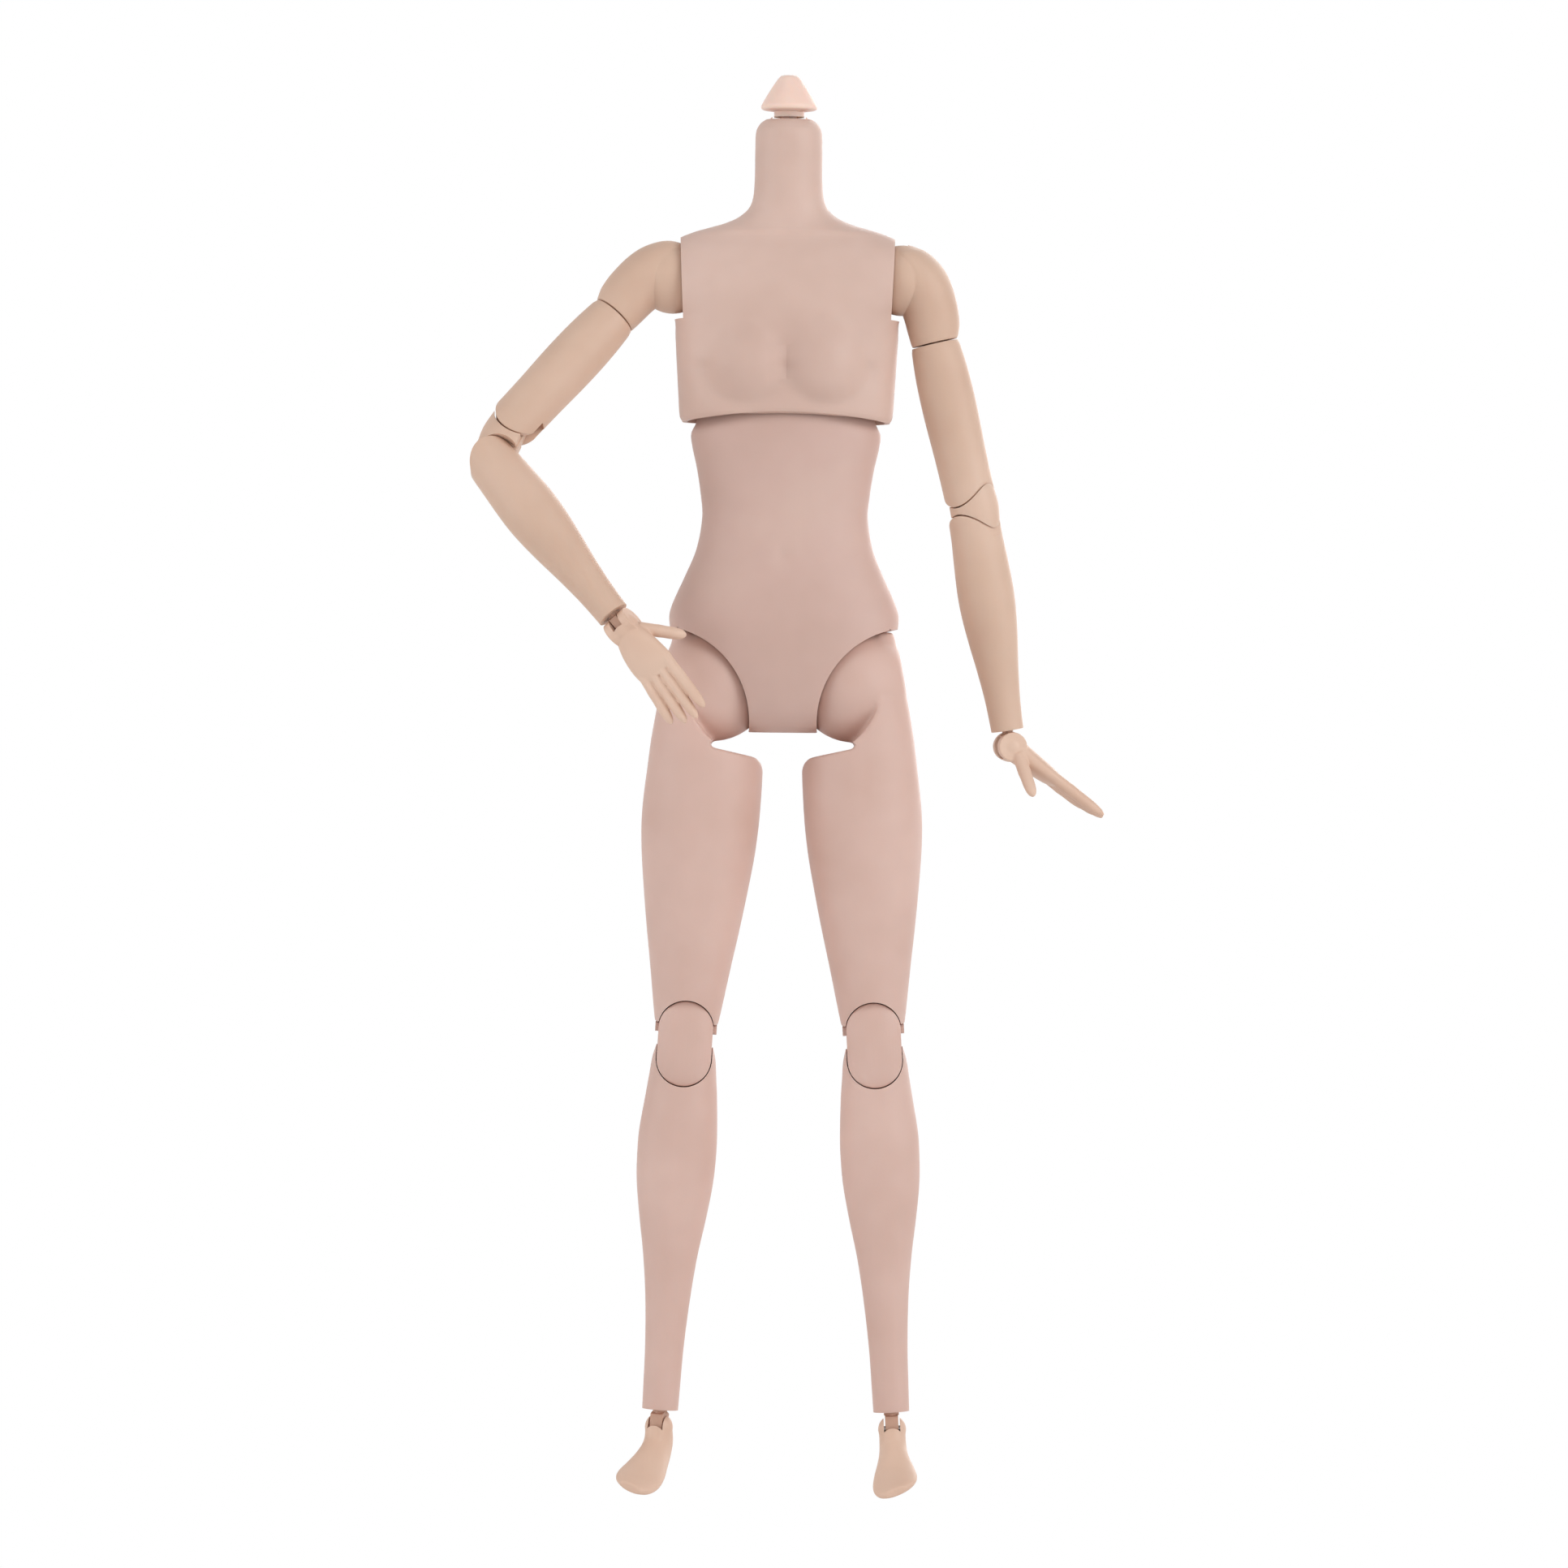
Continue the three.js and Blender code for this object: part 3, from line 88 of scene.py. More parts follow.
LEG_OPENING_OUT = 10.8
LEG_OPENING_DROP = 7

# Chest and neck
WAIST_TO_SPINE_PIVOT = 24
SPINE_PIVOT_TO_CHEST_EDGE = 6.5
CHEST_HEIGHT = 34
CHEST_HALF_WIDTH = 20.9
CHEST_HALF_DEPTH = 11.4
CHEST_WALL = 0.85
CHEST_POCKET_HEIGHT = 5
CHEST_RIM_WIDTH_SHARE = 0.915
CHEST_RIM_DEPTH_SHARE = 0.94
CHEST_EDGE_ARCH = 1.7
CHEST_EDGE_BAND = 5
SHOULDER_FACE_X = 19.9
SHOULDER_FACE_LEAN = 2.5
NECK_HEIGHT = 22
NECK_RADIUS = 6.2
BUST_RADIUS = 7.2
BUST_SPACING = 15.6
BUST_HEIGHT = 10.5
BUST_DEPTH = 2.6
BUST_UPPER_STRETCH = 1.25
BUST_FULLNESS = 1.2
BUST_HOLLOW = 0.5
BUST_VALLEY_RADIUS = 2.2
BUST_VALLEY_REACH = 6
BUST_FOLD_SHARE = 0.8
BUST_FOLD_AWAY = 1.05
BUST_FOLD_BAND = 0.2

# Neck peg
NECK_PIVOT_DROP = 3.6
COLLAR_RADIUS = 3.7
COLLAR_DOME = 4.6
COLLAR_LENGTH = 8.8
COLLAR_FLARE_HEIGHT = 0.9
STEM_RADIUS = 2.8
NECK_PIN_RADIUS = 0.7
STEM_HEIGHT = 0.15
KNOB_RADIUS = 5.2
KNOB_RIM = 1.2
KNOB_CONE = 5.25
KNOB_TIP_RADIUS = 1.6

# Spine post
POST_RADIUS = 2.3
POST_LENGTH = 18
POST_HEAD_RADIUS = 3.6
POST_HEAD_HEIGHT = 1.6
SPINE_EYE_RADIUS = 2.6
SPINE_EYE_WIDTH = 4
SPINE_PIN_RADIUS = 1
SPINE_PIN_LENGTH = 15

# Shoulder
SHOULDER_X = 21.2
SHOULDER_HEIGHT = 26.6
SHOULDER_BALL = 6.6
SHOULDER_BORE = 2.4
SHOULDER_AXLE = 14.2
SHOULDER_HEAD = 1.6
SHOULDER_TONGUE = 3
SHOULDER_EYE = 2
SHOULDER_PIN = 0.9
CAP_LENGTH = 12.6
CAP_OUT = 3.25
CAP_HALF_WIDTH = 5.4
CAP_HALF_DEPTH = 6.2

# Arm
UPPER_ARM_LENGTH = 25.4
UPPER_ARM_RADIUS = 5.05
ELBOW_SPACING = 11.2
ELBOW_RADIUS = 4.8
FOREARM_TOP_RADIUS = 4.6
FOREARM_LENGTH = 36
FOREARM_RADIUS = 5.3
BICEPS_PEG_RADIUS = 1.6
BICEPS_PEG_LENGTH = 6
BICEPS_HEAD_RADIUS = 2.4
BICEPS_HEAD_HEIGHT = 2
ELBOW_TONGUE = 3
ELBOW_EYE = 2.3
ELBOW_PIN = 0.8
ELBOW_FOLD = 65

# Hand
WRIST_DROP = 3.1
WRIST_RADIUS = 2.85
WRIST_HALF_WIDTH = 2.6
WRIST_PEG_RADIUS = 1.05
WRIST_PEG_LENGTH = 6
WRIST_HEAD_RADIUS = 1.8
WRIST_TONGUE = 1.6
WRIST_EYE = 1.5
WRIST_PIN = 0.55
HAND_LENGTH = 22
PALM_LENGTH = 10
PALM_HALF_WIDTH = 4
PALM_HALF_DEPTH = 1.75
FINGER_HALF_WIDTH = 1.02
FINGER_HALF_DEPTH = 1.15
THUMB_LENGTH = 9
THUMB_HALF_WIDTH = 1.17
THUMB_HALF_DEPTH = 1.25
THUMB_DIP = 34
THUMB_SPLAY = 38

# Leg
HIP_X = 13
HIP_BALL = 10.6
THIGH_LENGTH = 63
THIGH_HALF_WIDTH = 11
THIGH_OUT = 0.63
THIGH_NOTCH = 15.4
THIGH_NOTCH_RADIUS = 0.6
NOTCH_TIP = 0.9
KNEE_SPACING = 5.6
KNEE_DROP = 63.8
KNEE_RADIUS = 5.3
KNEE_HALF_WIDTH = 5
KNEECAP_HALF_WIDTH = 4.9
KNEECAP_FIT = 0.12
KNEECAP_BULGE = 1.2
KNEECAP_START = 2.2
KNEE_PIN = 0.9
KNEE_FOLD = 62
CALF_LENGTH = 65
CALF_HALF_WIDTH = 7.3
HIP_SHAFT_RADIUS = 1.5
HIP_SWIVEL_RADIUS = 3.4
HIP_PIN = 1
HIP_CORNER = 12
HIP_CORNER_HALF_DEPTH = 5.8

# Foot
ANKLE_DROP = 3.3
ANKLE_RADIUS = 2.6
ANKLE_PEG_RADIUS = 1.4
ANKLE_PEG_LENGTH = 7
ANKLE_HEAD_RADIUS = 2.1
ANKLE_HEAD_HEIGHT = 1.4
ANKLE_TONGUE = 2.4
ANKLE_EYE = 1.7
ANKLE_PIN = 0.65
FOOT_DROP = 11.9
FOOT_REACH = 13.5
FOOT_HALF_WIDTH = 4.1
FOOT_HALF_DEPTH = 3.6
TOE_SLOPE = 0.33

# Joint angles of the photographed pose, in degrees
LEFT_POSE = dict(side=1, label="left", swing=0, lift=13.5, biceps=40, elbow_top=2.9, elbow_low=2,
                 wrist_turn=-142, wrist_bend=-44, leg_spread=3.3, ankle_turn=0)
RIGHT_POSE = dict(side=-1, label="right", swing=-17, lift=40.5, biceps=0, elbow_top=15.5, elbow_low=62.9,
                  wrist_turn=-30, wrist_bend=0, leg_spread=3.3, ankle_turn=20)

LIFT_REACH = 92
SPREAD_REACH = 45
CLOSE_REACH = 3
WRIST_REACH = 50
ANKLE_REACH = 32
NOD_REACH = 16

TORSO_SIDES = 96
LIMB_SIDES = 64
SMALL_SIDES = 40
ROUND_SIDES = 48

# Grain of the fused skins: cell in millimetres and passes of smoothing
HAND_FUSE = (0.16, 6)
THIGH_FUSE = (0.34, 16)
KNEE_FUSE = (0.14, 5)
FOOT_FUSE = (0.2, 8)


# Selecting and applying, as by hand
def object_mode():
    if bpy.context.object and bpy.context.object.mode != "OBJECT":
        bpy.ops.object.mode_set(mode="OBJECT")
    bpy.ops.object.select_all(action="DESELECT")


def take(piece):
    object_mode()
    piece.select_set(True)
    bpy.context.view_layer.objects.active = piece


def edit(piece):
    take(piece)
    bpy.ops.object.mode_set(mode="EDIT")
    bpy.ops.mesh.select_all(action="SELECT")


def apply_place(piece):
    take(piece)
    bpy.ops.object.transform_apply(location=True, rotation=True, scale=True)


def apply_modifier(piece, kind, **settings):
    take(piece)
    modifier = piece.modifiers.new(kind.title(), kind)
    for key, value in settings.items():
        setattr(modifier, key, value)
    bpy.ops.object.modifier_apply(modifier=modifier.name)


def carve(piece, *tools, operation="DIFFERENCE"):
    for tool in tools:
        apply_place(tool)
        apply_modifier(piece, "BOOLEAN", object=tool, operation=operation, solver="EXACT")
        bpy.data.objects.remove(tool)
    return piece


def merge(piece, *others):
    return carve(piece, *others, operation="UNION")


def keep_inside(piece, *tools):
    return carve(piece, *tools, operation="INTERSECT")


def moved(piece, x, y, z):
    piece.location = (x * MM, y * MM, z * MM)
    apply_place(piece)
    return piece


def turned(piece, degrees, axis):
    piece.rotation_euler["XYZ".index(axis)] = radians(degrees)
    apply_place(piece)
    return piece


# Primitives in millimetres
def ball(radius, depth=None, height=None, sides=ROUND_SIDES):
    object_mode()
    bpy.ops.mesh.primitive_uv_sphere_add(segments=sides, ring_count=sides // 2, radius=radius * MM)
    piece = bpy.context.object
    piece.scale = (1, (depth or radius) / radius, (height or radius) / radius)
    apply_place(piece)
    return piece


def bar(radius, length, axis, sides=SMALL_SIDES):
    object_mode()
    bpy.ops.mesh.primitive_cylinder_add(vertices=sides, radius=radius * MM, depth=length * MM)
    piece = bpy.context.object
    if axis == "X":
        turned(piece, 90, "Y")
    if axis == "Y":
        turned(piece, 90, "X")
    return piece


def block(width, depth, height):
    object_mode()
    bpy.ops.mesh.primitive_cube_add(size=1)
    piece = bpy.context.object
    piece.scale = (width * MM, depth * MM, height * MM)
    apply_place(piece)
    return piece


# Rows of a section: x, y, z, half width, front, back, power and pitch, drawn through as a smooth curve
def eased(rows, steps):
    table = np.array([list(row) + [0] * (8 - len(row)) for row in rows], float)
    out = []
    last = len(table) - 1
    for k in range(last):
        before, start, end, after = table[max(k - 1, 0)], table[k], table[k + 1], table[min(k + 2, last)]
        span = abs(end[2] - start[2]) + 1e-9
        into = (end - before) * span / (abs(end[2] - before[2]) + 1e-9)
        out_of = (after - start) * span / (abs(after[2] - start[2]) + 1e-9)
        for step in range(steps):
            t = step / steps
            cubed, squared = t ** 3, t ** 2
            out.append((2 * cubed - 3 * squared + 1) * start + (cubed - 2 * squared + t) * into
                       + (3 * squared - 2 * cubed) * end + (cubed - squared) * out_of)
    out.append(table[-1])
    return out


# A closed skin: a ring is extruded from row to row, and each ring is shaped to its row's section
def skin(name, rows, sides=LIMB_SIDES, steps=4):
    rows = eased(rows, steps)
    object_mode()
    bpy.ops.mesh.primitive_circle_add(vertices=sides, radius=rows[0][3] * MM, fill_type="NOTHING")
    piece = bpy.context.object
    piece.name = name
    edit(piece)
    for low, high in zip(rows, rows[1:]):
        rise = (0, 0, (high[2] - low[2]) * MM)
        bpy.ops.mesh.extrude_region_move(TRANSFORM_OT_translate={"value": rise})
    bpy.ops.object.mode_set(mode="OBJECT")
    angles = np.arange(sides) * 2 * pi / sides
    points = []
    for x, y, z, width, front, back, power, pitch in rows:
        bend = 2 / power
        across = width * np.sign(np.cos(angles)) * np.abs(np.cos(angles)) ** bend
        depth = np.where(np.sin(angles) < 0, front, back)
        along = depth * np.sign(np.sin(angles)) * np.abs(np.sin(angles)) ** bend
        points.append(np.stack([x + across, y + along * cos(pitch), z - along * sin(pitch)], axis=1))
    piece.data.vertices.foreach_set("co", (np.concatenate(points) * MM).ravel())
    count = len(piece.data.vertices)
    for ends in (range(sides), range(count - sides, count)):
        edit(piece)
        bpy.ops.mesh.select_all(action="DESELECT")
        bpy.ops.object.mode_set(mode="OBJECT")
        for index in ends:
            piece.data.vertices[index].select = True
        bpy.ops.object.mode_set(mode="EDIT")
        bpy.ops.mesh.edge_face_add()
    bpy.ops.mesh.select_all(action="SELECT")
    bpy.ops.mesh.normals_make_consistent(inside=False)
    object_mode()
    return piece


# A turned shape: a profile of [radius, height] points is spun about Z
def spun(name, profile, sides=ROUND_SIDES):
    object_mode()
    bpy.ops.mesh.primitive_plane_add(size=MM)
    piece = bpy.context.object
    piece.name = name
    edit(piece)
    bpy.ops.mesh.delete(type="ONLY_FACE")
    bpy.ops.mesh.select_all(action="SELECT")
    bpy.ops.mesh.merge(type="CENTER")
    for _ in profile[1:]:
        bpy.ops.mesh.extrude_region_move(TRANSFORM_OT_translate={"value": (MM, 0, 0)})
    bpy.ops.object.mode_set(mode="OBJECT")
    for vertex, (radius, height) in zip(piece.data.vertices, profile):
        vertex.co = (radius * MM, 0, height * MM)
    edit(piece)
    bpy.ops.mesh.spin(steps=sides, angle=2 * pi, center=(0, 0, 0), axis=(0, 0, 1))
    bpy.ops.mesh.select_all(action="SELECT")
    bpy.ops.mesh.remove_doubles(threshold=MM / 1000)
    bpy.ops.mesh.normals_make_consistent(inside=False)
    object_mode()
    return piece


# A flat outline of x, z points drawn out along Y
def drawn_out(outline, depth):
    object_mode()
    bpy.ops.mesh.primitive_circle_add(vertices=len(outline), radius=MM, fill_type="NGON")
    piece = bpy.context.object
    for vertex, (x, z) in zip(piece.data.vertices, outline):
        vertex.co = (x * MM, -depth / 2 * MM, z * MM)
    edit(piece)
    bpy.ops.mesh.extrude_region_move(TRANSFORM_OT_translate={"value": (0, depth * MM, 0)})
    bpy.ops.mesh.select_all(action="SELECT")
    bpy.ops.mesh.normals_make_consistent(inside=False)
    object_mode()
    return piece


# The room that a tongue swings through, from one direction to another, about Y or X
def swing_slot(width, half_height, reach, from_angle, to_angle, axis):
    outer = hypot(reach, half_height)
    spread = atan2(half_height, reach)
    steps = max(6, ceil((to_angle - from_angle) / 6))
    arc = np.linspace(radians(from_angle) - spread, radians(to_angle) + spread, steps)
    eye = np.linspace(radians(to_angle) + pi / 2, radians(from_angle) + 3 * pi / 2, 12)
    outline = [(outer * cos(a), outer * sin(a)) for a in arc]
    outline += [(half_height * cos(a), half_height * sin(a)) for a in eye]
    piece = drawn_out(outline, width)
    if axis == "X":
        turned(piece, 90, "Z")
    return piece


def tongue(width, half_height, reach, angle, axis):
    return swing_slot(width, half_height, sqrt(reach ** 2 - half_height ** 2), angle, angle, axis)


def peg_room(radius, length, head_radius, head_height, gap):
    neck = length - head_height
    base = -2 * SEAM_GAP
    return spun("peg_room", [
        (0, base), (radius + gap, base), (radius + gap, neck - gap),
        (head_radius + gap, neck - gap), (head_radius + gap, length + gap), (0, length + gap),
    ])


# Smooth faces with a soft lip wherever two of them meet
def finish_shell(piece, lip=LIP, angle=LIP_ANGLE):
    edit(piece)
    bpy.ops.mesh.remove_doubles(threshold=MM * WELD_REACH)
    object_mode()
    if lip:
        apply_modifier(piece, "BEVEL", width=lip * MM, segments=2, limit_method="ANGLE",
                       angle_limit=radians(angle), use_clamp_overlap=True)
    take(piece)
    bpy.ops.object.shade_smooth_by_angle(angle=radians(angle))
    return piece


# One moulded skin over joined forms, as poured in a single mould
def fuse(piece, voxel, smoothing):
    apply_modifier(piece, "REMESH", mode="VOXEL", voxel_size=voxel * MM)
    apply_modifier(piece, "SMOOTH", factor=0.5, iterations=smoothing)
    return piece


def hanging(rows, length, half_width, power=2):
    return [(out * half_width, 0, -down * length, width * half_width, front * half_width,
             back * half_width, power) for down, out, width, front, back in rows]


# Abdomen and pelvis
PELVIS_SHARES = [
    [1, 0.29, 0.5, 0.56, 2.4],
    [0.97, 0.45, 0.7, 0.76, 2.4],
    [0.9, 0.7, 0.88, 0.93, 2.5],
    [0.79, 0.9, 0.97, 1.08, 2.6],
    [0.65, 0.97, 1, 1.13, 2.7],
    [0.53, 0.99, 0.99, 1.12, 2.7],
    [0.46, 1, 0.97, 1.07, 2.6],
    [0.4, 0.97, 0.94, 1.02, 2.5],
    [0.28, 0.87, 0.87, 0.94, 2.3],
    [0.15, 0.77, 0.8, 0.85, 2.2],
]
ABDOMEN_SHARES = [
    [0, 1, 0.96, 0.98],
    [0.26, 1.02, 0.97, 1],
    [0.58, 1.07, 1.005, 1.02],
    [0.85, 1.13, 1.03, 1.03],
]
DOME_SHARES = [
    [0, 1, 0.97, 2.15, 1.03],
    [0.3, 0.955, 0.9, 2, 1.01],
    [0.62, 0.91, 0.86, 1.95, 0.93],
    [0.86, 0.78, 0.72, 1.95, 0.74],
    [1, 0.5, 0.45, 2, 0.45],
]


def pelvis_form():
    rows = [(0, 0, -drop * WAIST_TO_CROTCH, width * HIP_HALF_WIDTH, front * PELVIS_HALF_DEPTH,
             back * PELVIS_HALF_DEPTH, power) for drop, width, front, back, power in PELVIS_SHARES]
    rows += [(0, 0, rise * WAIST_TO_ABDOMEN_TOP, width * WAIST_HALF_WIDTH, front * TORSO_HALF_DEPTH,
              back * TORSO_HALF_DEPTH, 2.2) for rise, width, front, back in ABDOMEN_SHARES]
    rows += [(0, 0, WAIST_TO_ABDOMEN_TOP + rise * ABDOMEN_DOME, width * ABDOMEN_TOP_HALF_WIDTH,
              front * TORSO_HALF_DEPTH, back * TORSO_HALF_DEPTH, power)
             for rise, width, back, power, front in DOME_SHARES]
    piece = skin("pelvis_form", rows, TORSO_SIDES, 5)
    shape_belly(piece)
    lift_front(piece)
    post_base = WAIST_TO_SPINE_PIVOT - POST_LENGTH
    carve(
        piece,
        moved(bar(POST_RADIUS + PIN_GAP, POST_LENGTH, "Z"), 0, 0, post_base + POST_LENGTH / 2),
        moved(bar(POST_HEAD_RADIUS + PIN_GAP, POST_HEAD_HEIGHT + 2 * RUNNING_GAP, "Z"),
              0, 0, post_base + POST_HEAD_HEIGHT / 2),
        moved(bar(HIP_SHAFT_RADIUS + PIN_GAP, 2 * HIP_X, "X"), 0, 0, -WAIST_TO_HIP),
    )
    for side in (1, -1):
        corner = bar(HIP_CORNER + RUNNING_GAP, 2 * (HIP_CORNER_HALF_DEPTH + RUNNING_GAP), "Y")
        above = moved(block(HIP_CORNER * 2, HIP_CORNER * 2, HIP_CORNER * 2),
                      side * (HIP_CORNER - HIP_BALL / 3), 0, HIP_CORNER)
        groove = moved(keep_inside(corner, above), side * HIP_X, 0, -WAIST_TO_HIP)
        opening = bar(LEG_OPENING_RADIUS, 2 * (PELVIS_HALF_DEPTH + CUT_OVERRUN), "Y", TORSO_SIDES)
        carve(
            piece,
            moved(opening, side * (HIP_X + LEG_OPENING_OUT), 0, -WAIST_TO_HIP - LEG_OPENING_DROP),
            moved(ball(HIP_BALL + SEAM_GAP), side * HIP_X, 0, -WAIST_TO_HIP),
            groove,
        )
    return piece


# The belly's soft middle line and the navel, pressed into the front
def shape_belly(piece):
    for vertex in piece.data.vertices:
        x, y, z = (c / MM for c in vertex.co)
        if y >= 0:
            continue
        navel = exp(-((x / NAVEL_RADIUS) ** 2 + ((z + NAVEL_DROP) / (NAVEL_STRETCH * NAVEL_RADIUS)) ** 2))
        line = exp(-(x / BELLY_LINE_RADIUS) ** 2) * exp(-((z - BELLY_LINE_HEIGHT) / BELLY_LINE_REACH) ** 2)
        vertex.co.y += (NAVEL_DEPTH * navel + BELLY_LINE_DEPTH * line) * MM


# The front of the abdomen rises to follow the chest's arch
def lift_front(piece):
    top = WAIST_TO_ABDOMEN_TOP
    for vertex in piece.data.vertices:
        x, y, z = (c / MM for c in vertex.co)
        if y >= 0 or z < top - ABDOMEN_DOME:
            continue
        across = max(0, 1 - (x / ABDOMEN_TOP_HALF_WIDTH) ** 2)
        below = min(1, (z - top + ABDOMEN_DOME) / ABDOMEN_DOME)
        above = min(1, max(0, (top + ABDOMEN_DOME - z) / (FRONT_LIFT_FADE * ABDOMEN_DOME)))
        vertex.co.z += FRONT_LIFT * across * below * above * MM


# Both shells of a form that parts on the plane through its sides
def halves(form, front_name, back_name):
    shells = []
    for name, front in ((front_name, True), (back_name, False)):
        take(form)
        bpy.ops.object.duplicate()
        shell = bpy.context.object
        shell.name = name
        edit(shell)
        bpy.ops.mesh.bisect(plane_co=(0, (-SPLIT_GAP if front else SPLIT_GAP) * MM, 0), plane_no=(0, 1, 0),
                            use_fill=True, clear_outer=front, clear_inner=not front,
                            threshold=SPLIT_REACH * MM)
        object_mode()
        shells.append(shell)
    bpy.data.objects.remove(form)
    return shells


# Chest and neck
CHEST_SHARES = [
    [0, 0.915, 0.94, 0.93, 2.3],
    [0.03, 0.94, 0.965, 0.955, 2.3],
    [0.15, 0.955, 0.99, 0.98, 2.3],
    [0.25, 0.965, 0.995, 0.99, 2.3],
    [0.35, 0.975, 1, 1, 2.4],
    [0.46, 0.985, 1, 1, 2.4],
    [0.57, 1, 1, 1, 2.5],
    [0.645, 1.1, 0.98, 1, 2.5],
    [0.75, 1.2, 0.93, 0.98, 2.5],
    [0.865, 1.2, 0.82, 0.93, 2.5],
    [0.94, 1.13, 0.72, 0.85, 2.4],
    [1, 0.96, 0.62, 0.76, 2.3],
]
NECK_SHARES = [
    [0.055, 2.75, 1.12, 1.34, 2.2],
    [0.085, 2.38, 1.07, 1.28, 2.1],
    [0.125, 1.9, 1.03, 1.21, 2],
    [0.18, 1.47, 1.01, 1.12, 2],
    [0.27, 1.14, 1, 1.04, 2],
    [0.42, 1.02, 1, 1, 2],
    [0.8, 1, 1, 1, 2],
    [0.91, 0.97, 0.97, 0.97, 2],
    [0.972, 0.84, 0.84, 0.84, 2],
    [1, 0.7, 0.7, 0.7, 2],
]


# The bust swells the front, with a valley between its halves and a fold under them
def swell(piece, height):
    for vertex in piece.data.vertices:
        x, y, z = (c / MM for c in vertex.co)
        if y < 0:
            rise = (z - height) / (BUST_UPPER_STRETCH if z > height else 1)
            away = hypot(abs(x) - BUST_SPACING / 2, rise) / BUST_RADIUS
            vertex.co.y -= BUST_DEPTH * max(0, 1 - away * away) ** BUST_FULLNESS * MM
            valley = exp(-(x / BUST_VALLEY_RADIUS) ** 2 - (rise / BUST_VALLEY_REACH) ** 2)
            fold = BUST_FOLD_SHARE * exp(-((away - BUST_FOLD_AWAY) / BUST_FOLD_BAND) ** 2) * (z < height)
            vertex.co.y += BUST_HOLLOW * (valley + fold) * MM


# The front of the chest's lower edge rises into a shallow arch
def arch_edge(piece, edge):
    for vertex in piece.data.vertices:
        x, y, z = (c / MM for c in vertex.co)
        across = x / (CHEST_RIM_WIDTH_SHARE * CHEST_HALF_WIDTH)
        near = 1 - (z - edge) / CHEST_EDGE_BAND
        if y < 0:
            vertex.co.z += CHEST_EDGE_ARCH * max(0, near) * max(0, 1 - across ** 2) * MM


def chest_form():
    shoulder_top = CHEST_HEIGHT - SPINE_PIVOT_TO_CHEST_EDGE
    rows = [(0, 0, rise * CHEST_HEIGHT - SPINE_PIVOT_TO_CHEST_EDGE, width * CHEST_HALF_WIDTH,
             front * CHEST_HALF_DEPTH, back * CHEST_HALF_DEPTH, power)
            for rise, width, front, back, power in CHEST_SHARES]
    rows += [(0, 0, shoulder_top + rise * NECK_HEIGHT, width * NECK_RADIUS, front * NECK_RADIUS,
              back * NECK_RADIUS, power) for rise, width, front, back, power in NECK_SHARES]
    piece = skin("chest_form", rows, TORSO_SIDES, 4)
    arch_edge(piece, -SPINE_PIVOT_TO_CHEST_EDGE)
    swell(piece, BUST_HEIGHT - SPINE_PIVOT_TO_CHEST_EDGE)
    pocket = skin("pocket", [
        (0, 0, rise - SPINE_PIVOT_TO_CHEST_EDGE,
         share * (CHEST_RIM_WIDTH_SHARE * CHEST_HALF_WIDTH - CHEST_WALL),
         share * (CHEST_RIM_DEPTH_SHARE * CHEST_HALF_DEPTH - CHEST_WALL),
         share * (CHEST_RIM_DEPTH_SHARE * CHEST_HALF_DEPTH - CHEST_WALL), 2.3)
        for rise, share in ((-CUT_OVERRUN, 1), (0.6 * CHEST_POCKET_HEIGHT, 1),
                            (0.9 * CHEST_POCKET_HEIGHT, 0.92), (CHEST_POCKET_HEIGHT, 0.8))
    ], TORSO_SIDES, 1)
    slot = block(SPINE_EYE_WIDTH + 2 * RUNNING_GAP, 2 * (SPINE_EYE_RADIUS + RUNNING_GAP),
                 2 * CHEST_POCKET_HEIGHT)
    collar_room = bar(COLLAR_RADIUS + PIN_GAP, COLLAR_LENGTH + CUT_OVERRUN, "Z")
    collar_z = shoulder_top + NECK_HEIGHT + (CUT_OVERRUN - COLLAR_LENGTH) / 2 - PIN_GAP - NECK_PIVOT_DROP / 2
    carve(
        piece,
        pocket,
        moved(slot, 0, 0, SPINE_EYE_RADIUS + RUNNING_GAP - CHEST_POCKET_HEIGHT),
        bar(SPINE_PIN_RADIUS + PIN_GAP / 2, SPINE_PIN_LENGTH + 2 * PIN_GAP, "X"),
        moved(collar_room, 0, 0, collar_z),
    )
    shoulder_z = SHOULDER_HEIGHT - SPINE_PIVOT_TO_CHEST_EDGE
    axle = SHOULDER_AXLE - SHOULDER_BALL
    for side in (1, -1):
        face = moved(block(2 * CHEST_HALF_WIDTH, 4 * CHEST_HALF_DEPTH, CHEST_HEIGHT), CHEST_HALF_WIDTH, 0, 0)
        turned(face, SHOULDER_FACE_LEAN, "Y")
        moved(face, SHOULDER_FACE_X, 0, shoulder_z + CHEST_HEIGHT / 4 + SHOULDER_BALL / 8)
        if side < 0:
            turned(face, 180, "Z")
        carve(
            piece,
            face,
            moved(ball(SHOULDER_BALL + SEAM_GAP), side * SHOULDER_X, 0, shoulder_z),
            moved(bar(SHOULDER_BORE + PIN_GAP, axle + 2 * SEAM_GAP, "X"),
                  side * (SHOULDER_X - SHOULDER_BALL - axle / 2), 0, shoulder_z),
            moved(bar(SHOULDER_BORE + SHOULDER_PIN + PIN_GAP, SHOULDER_HEAD + 2 * PIN_GAP, "X"),
                  side * (SHOULDER_X - SHOULDER_AXLE + SHOULDER_HEAD / 2), 0, shoulder_z),
        )
    return piece


# Neck collar and the knob above it
def dome_arc(dome, edge_radius, steps=10):
    edge = asin(edge_radius / dome)
    return [(dome * sin(edge * k / steps), dome * cos(edge * k / steps)) for k in range(steps + 1)]


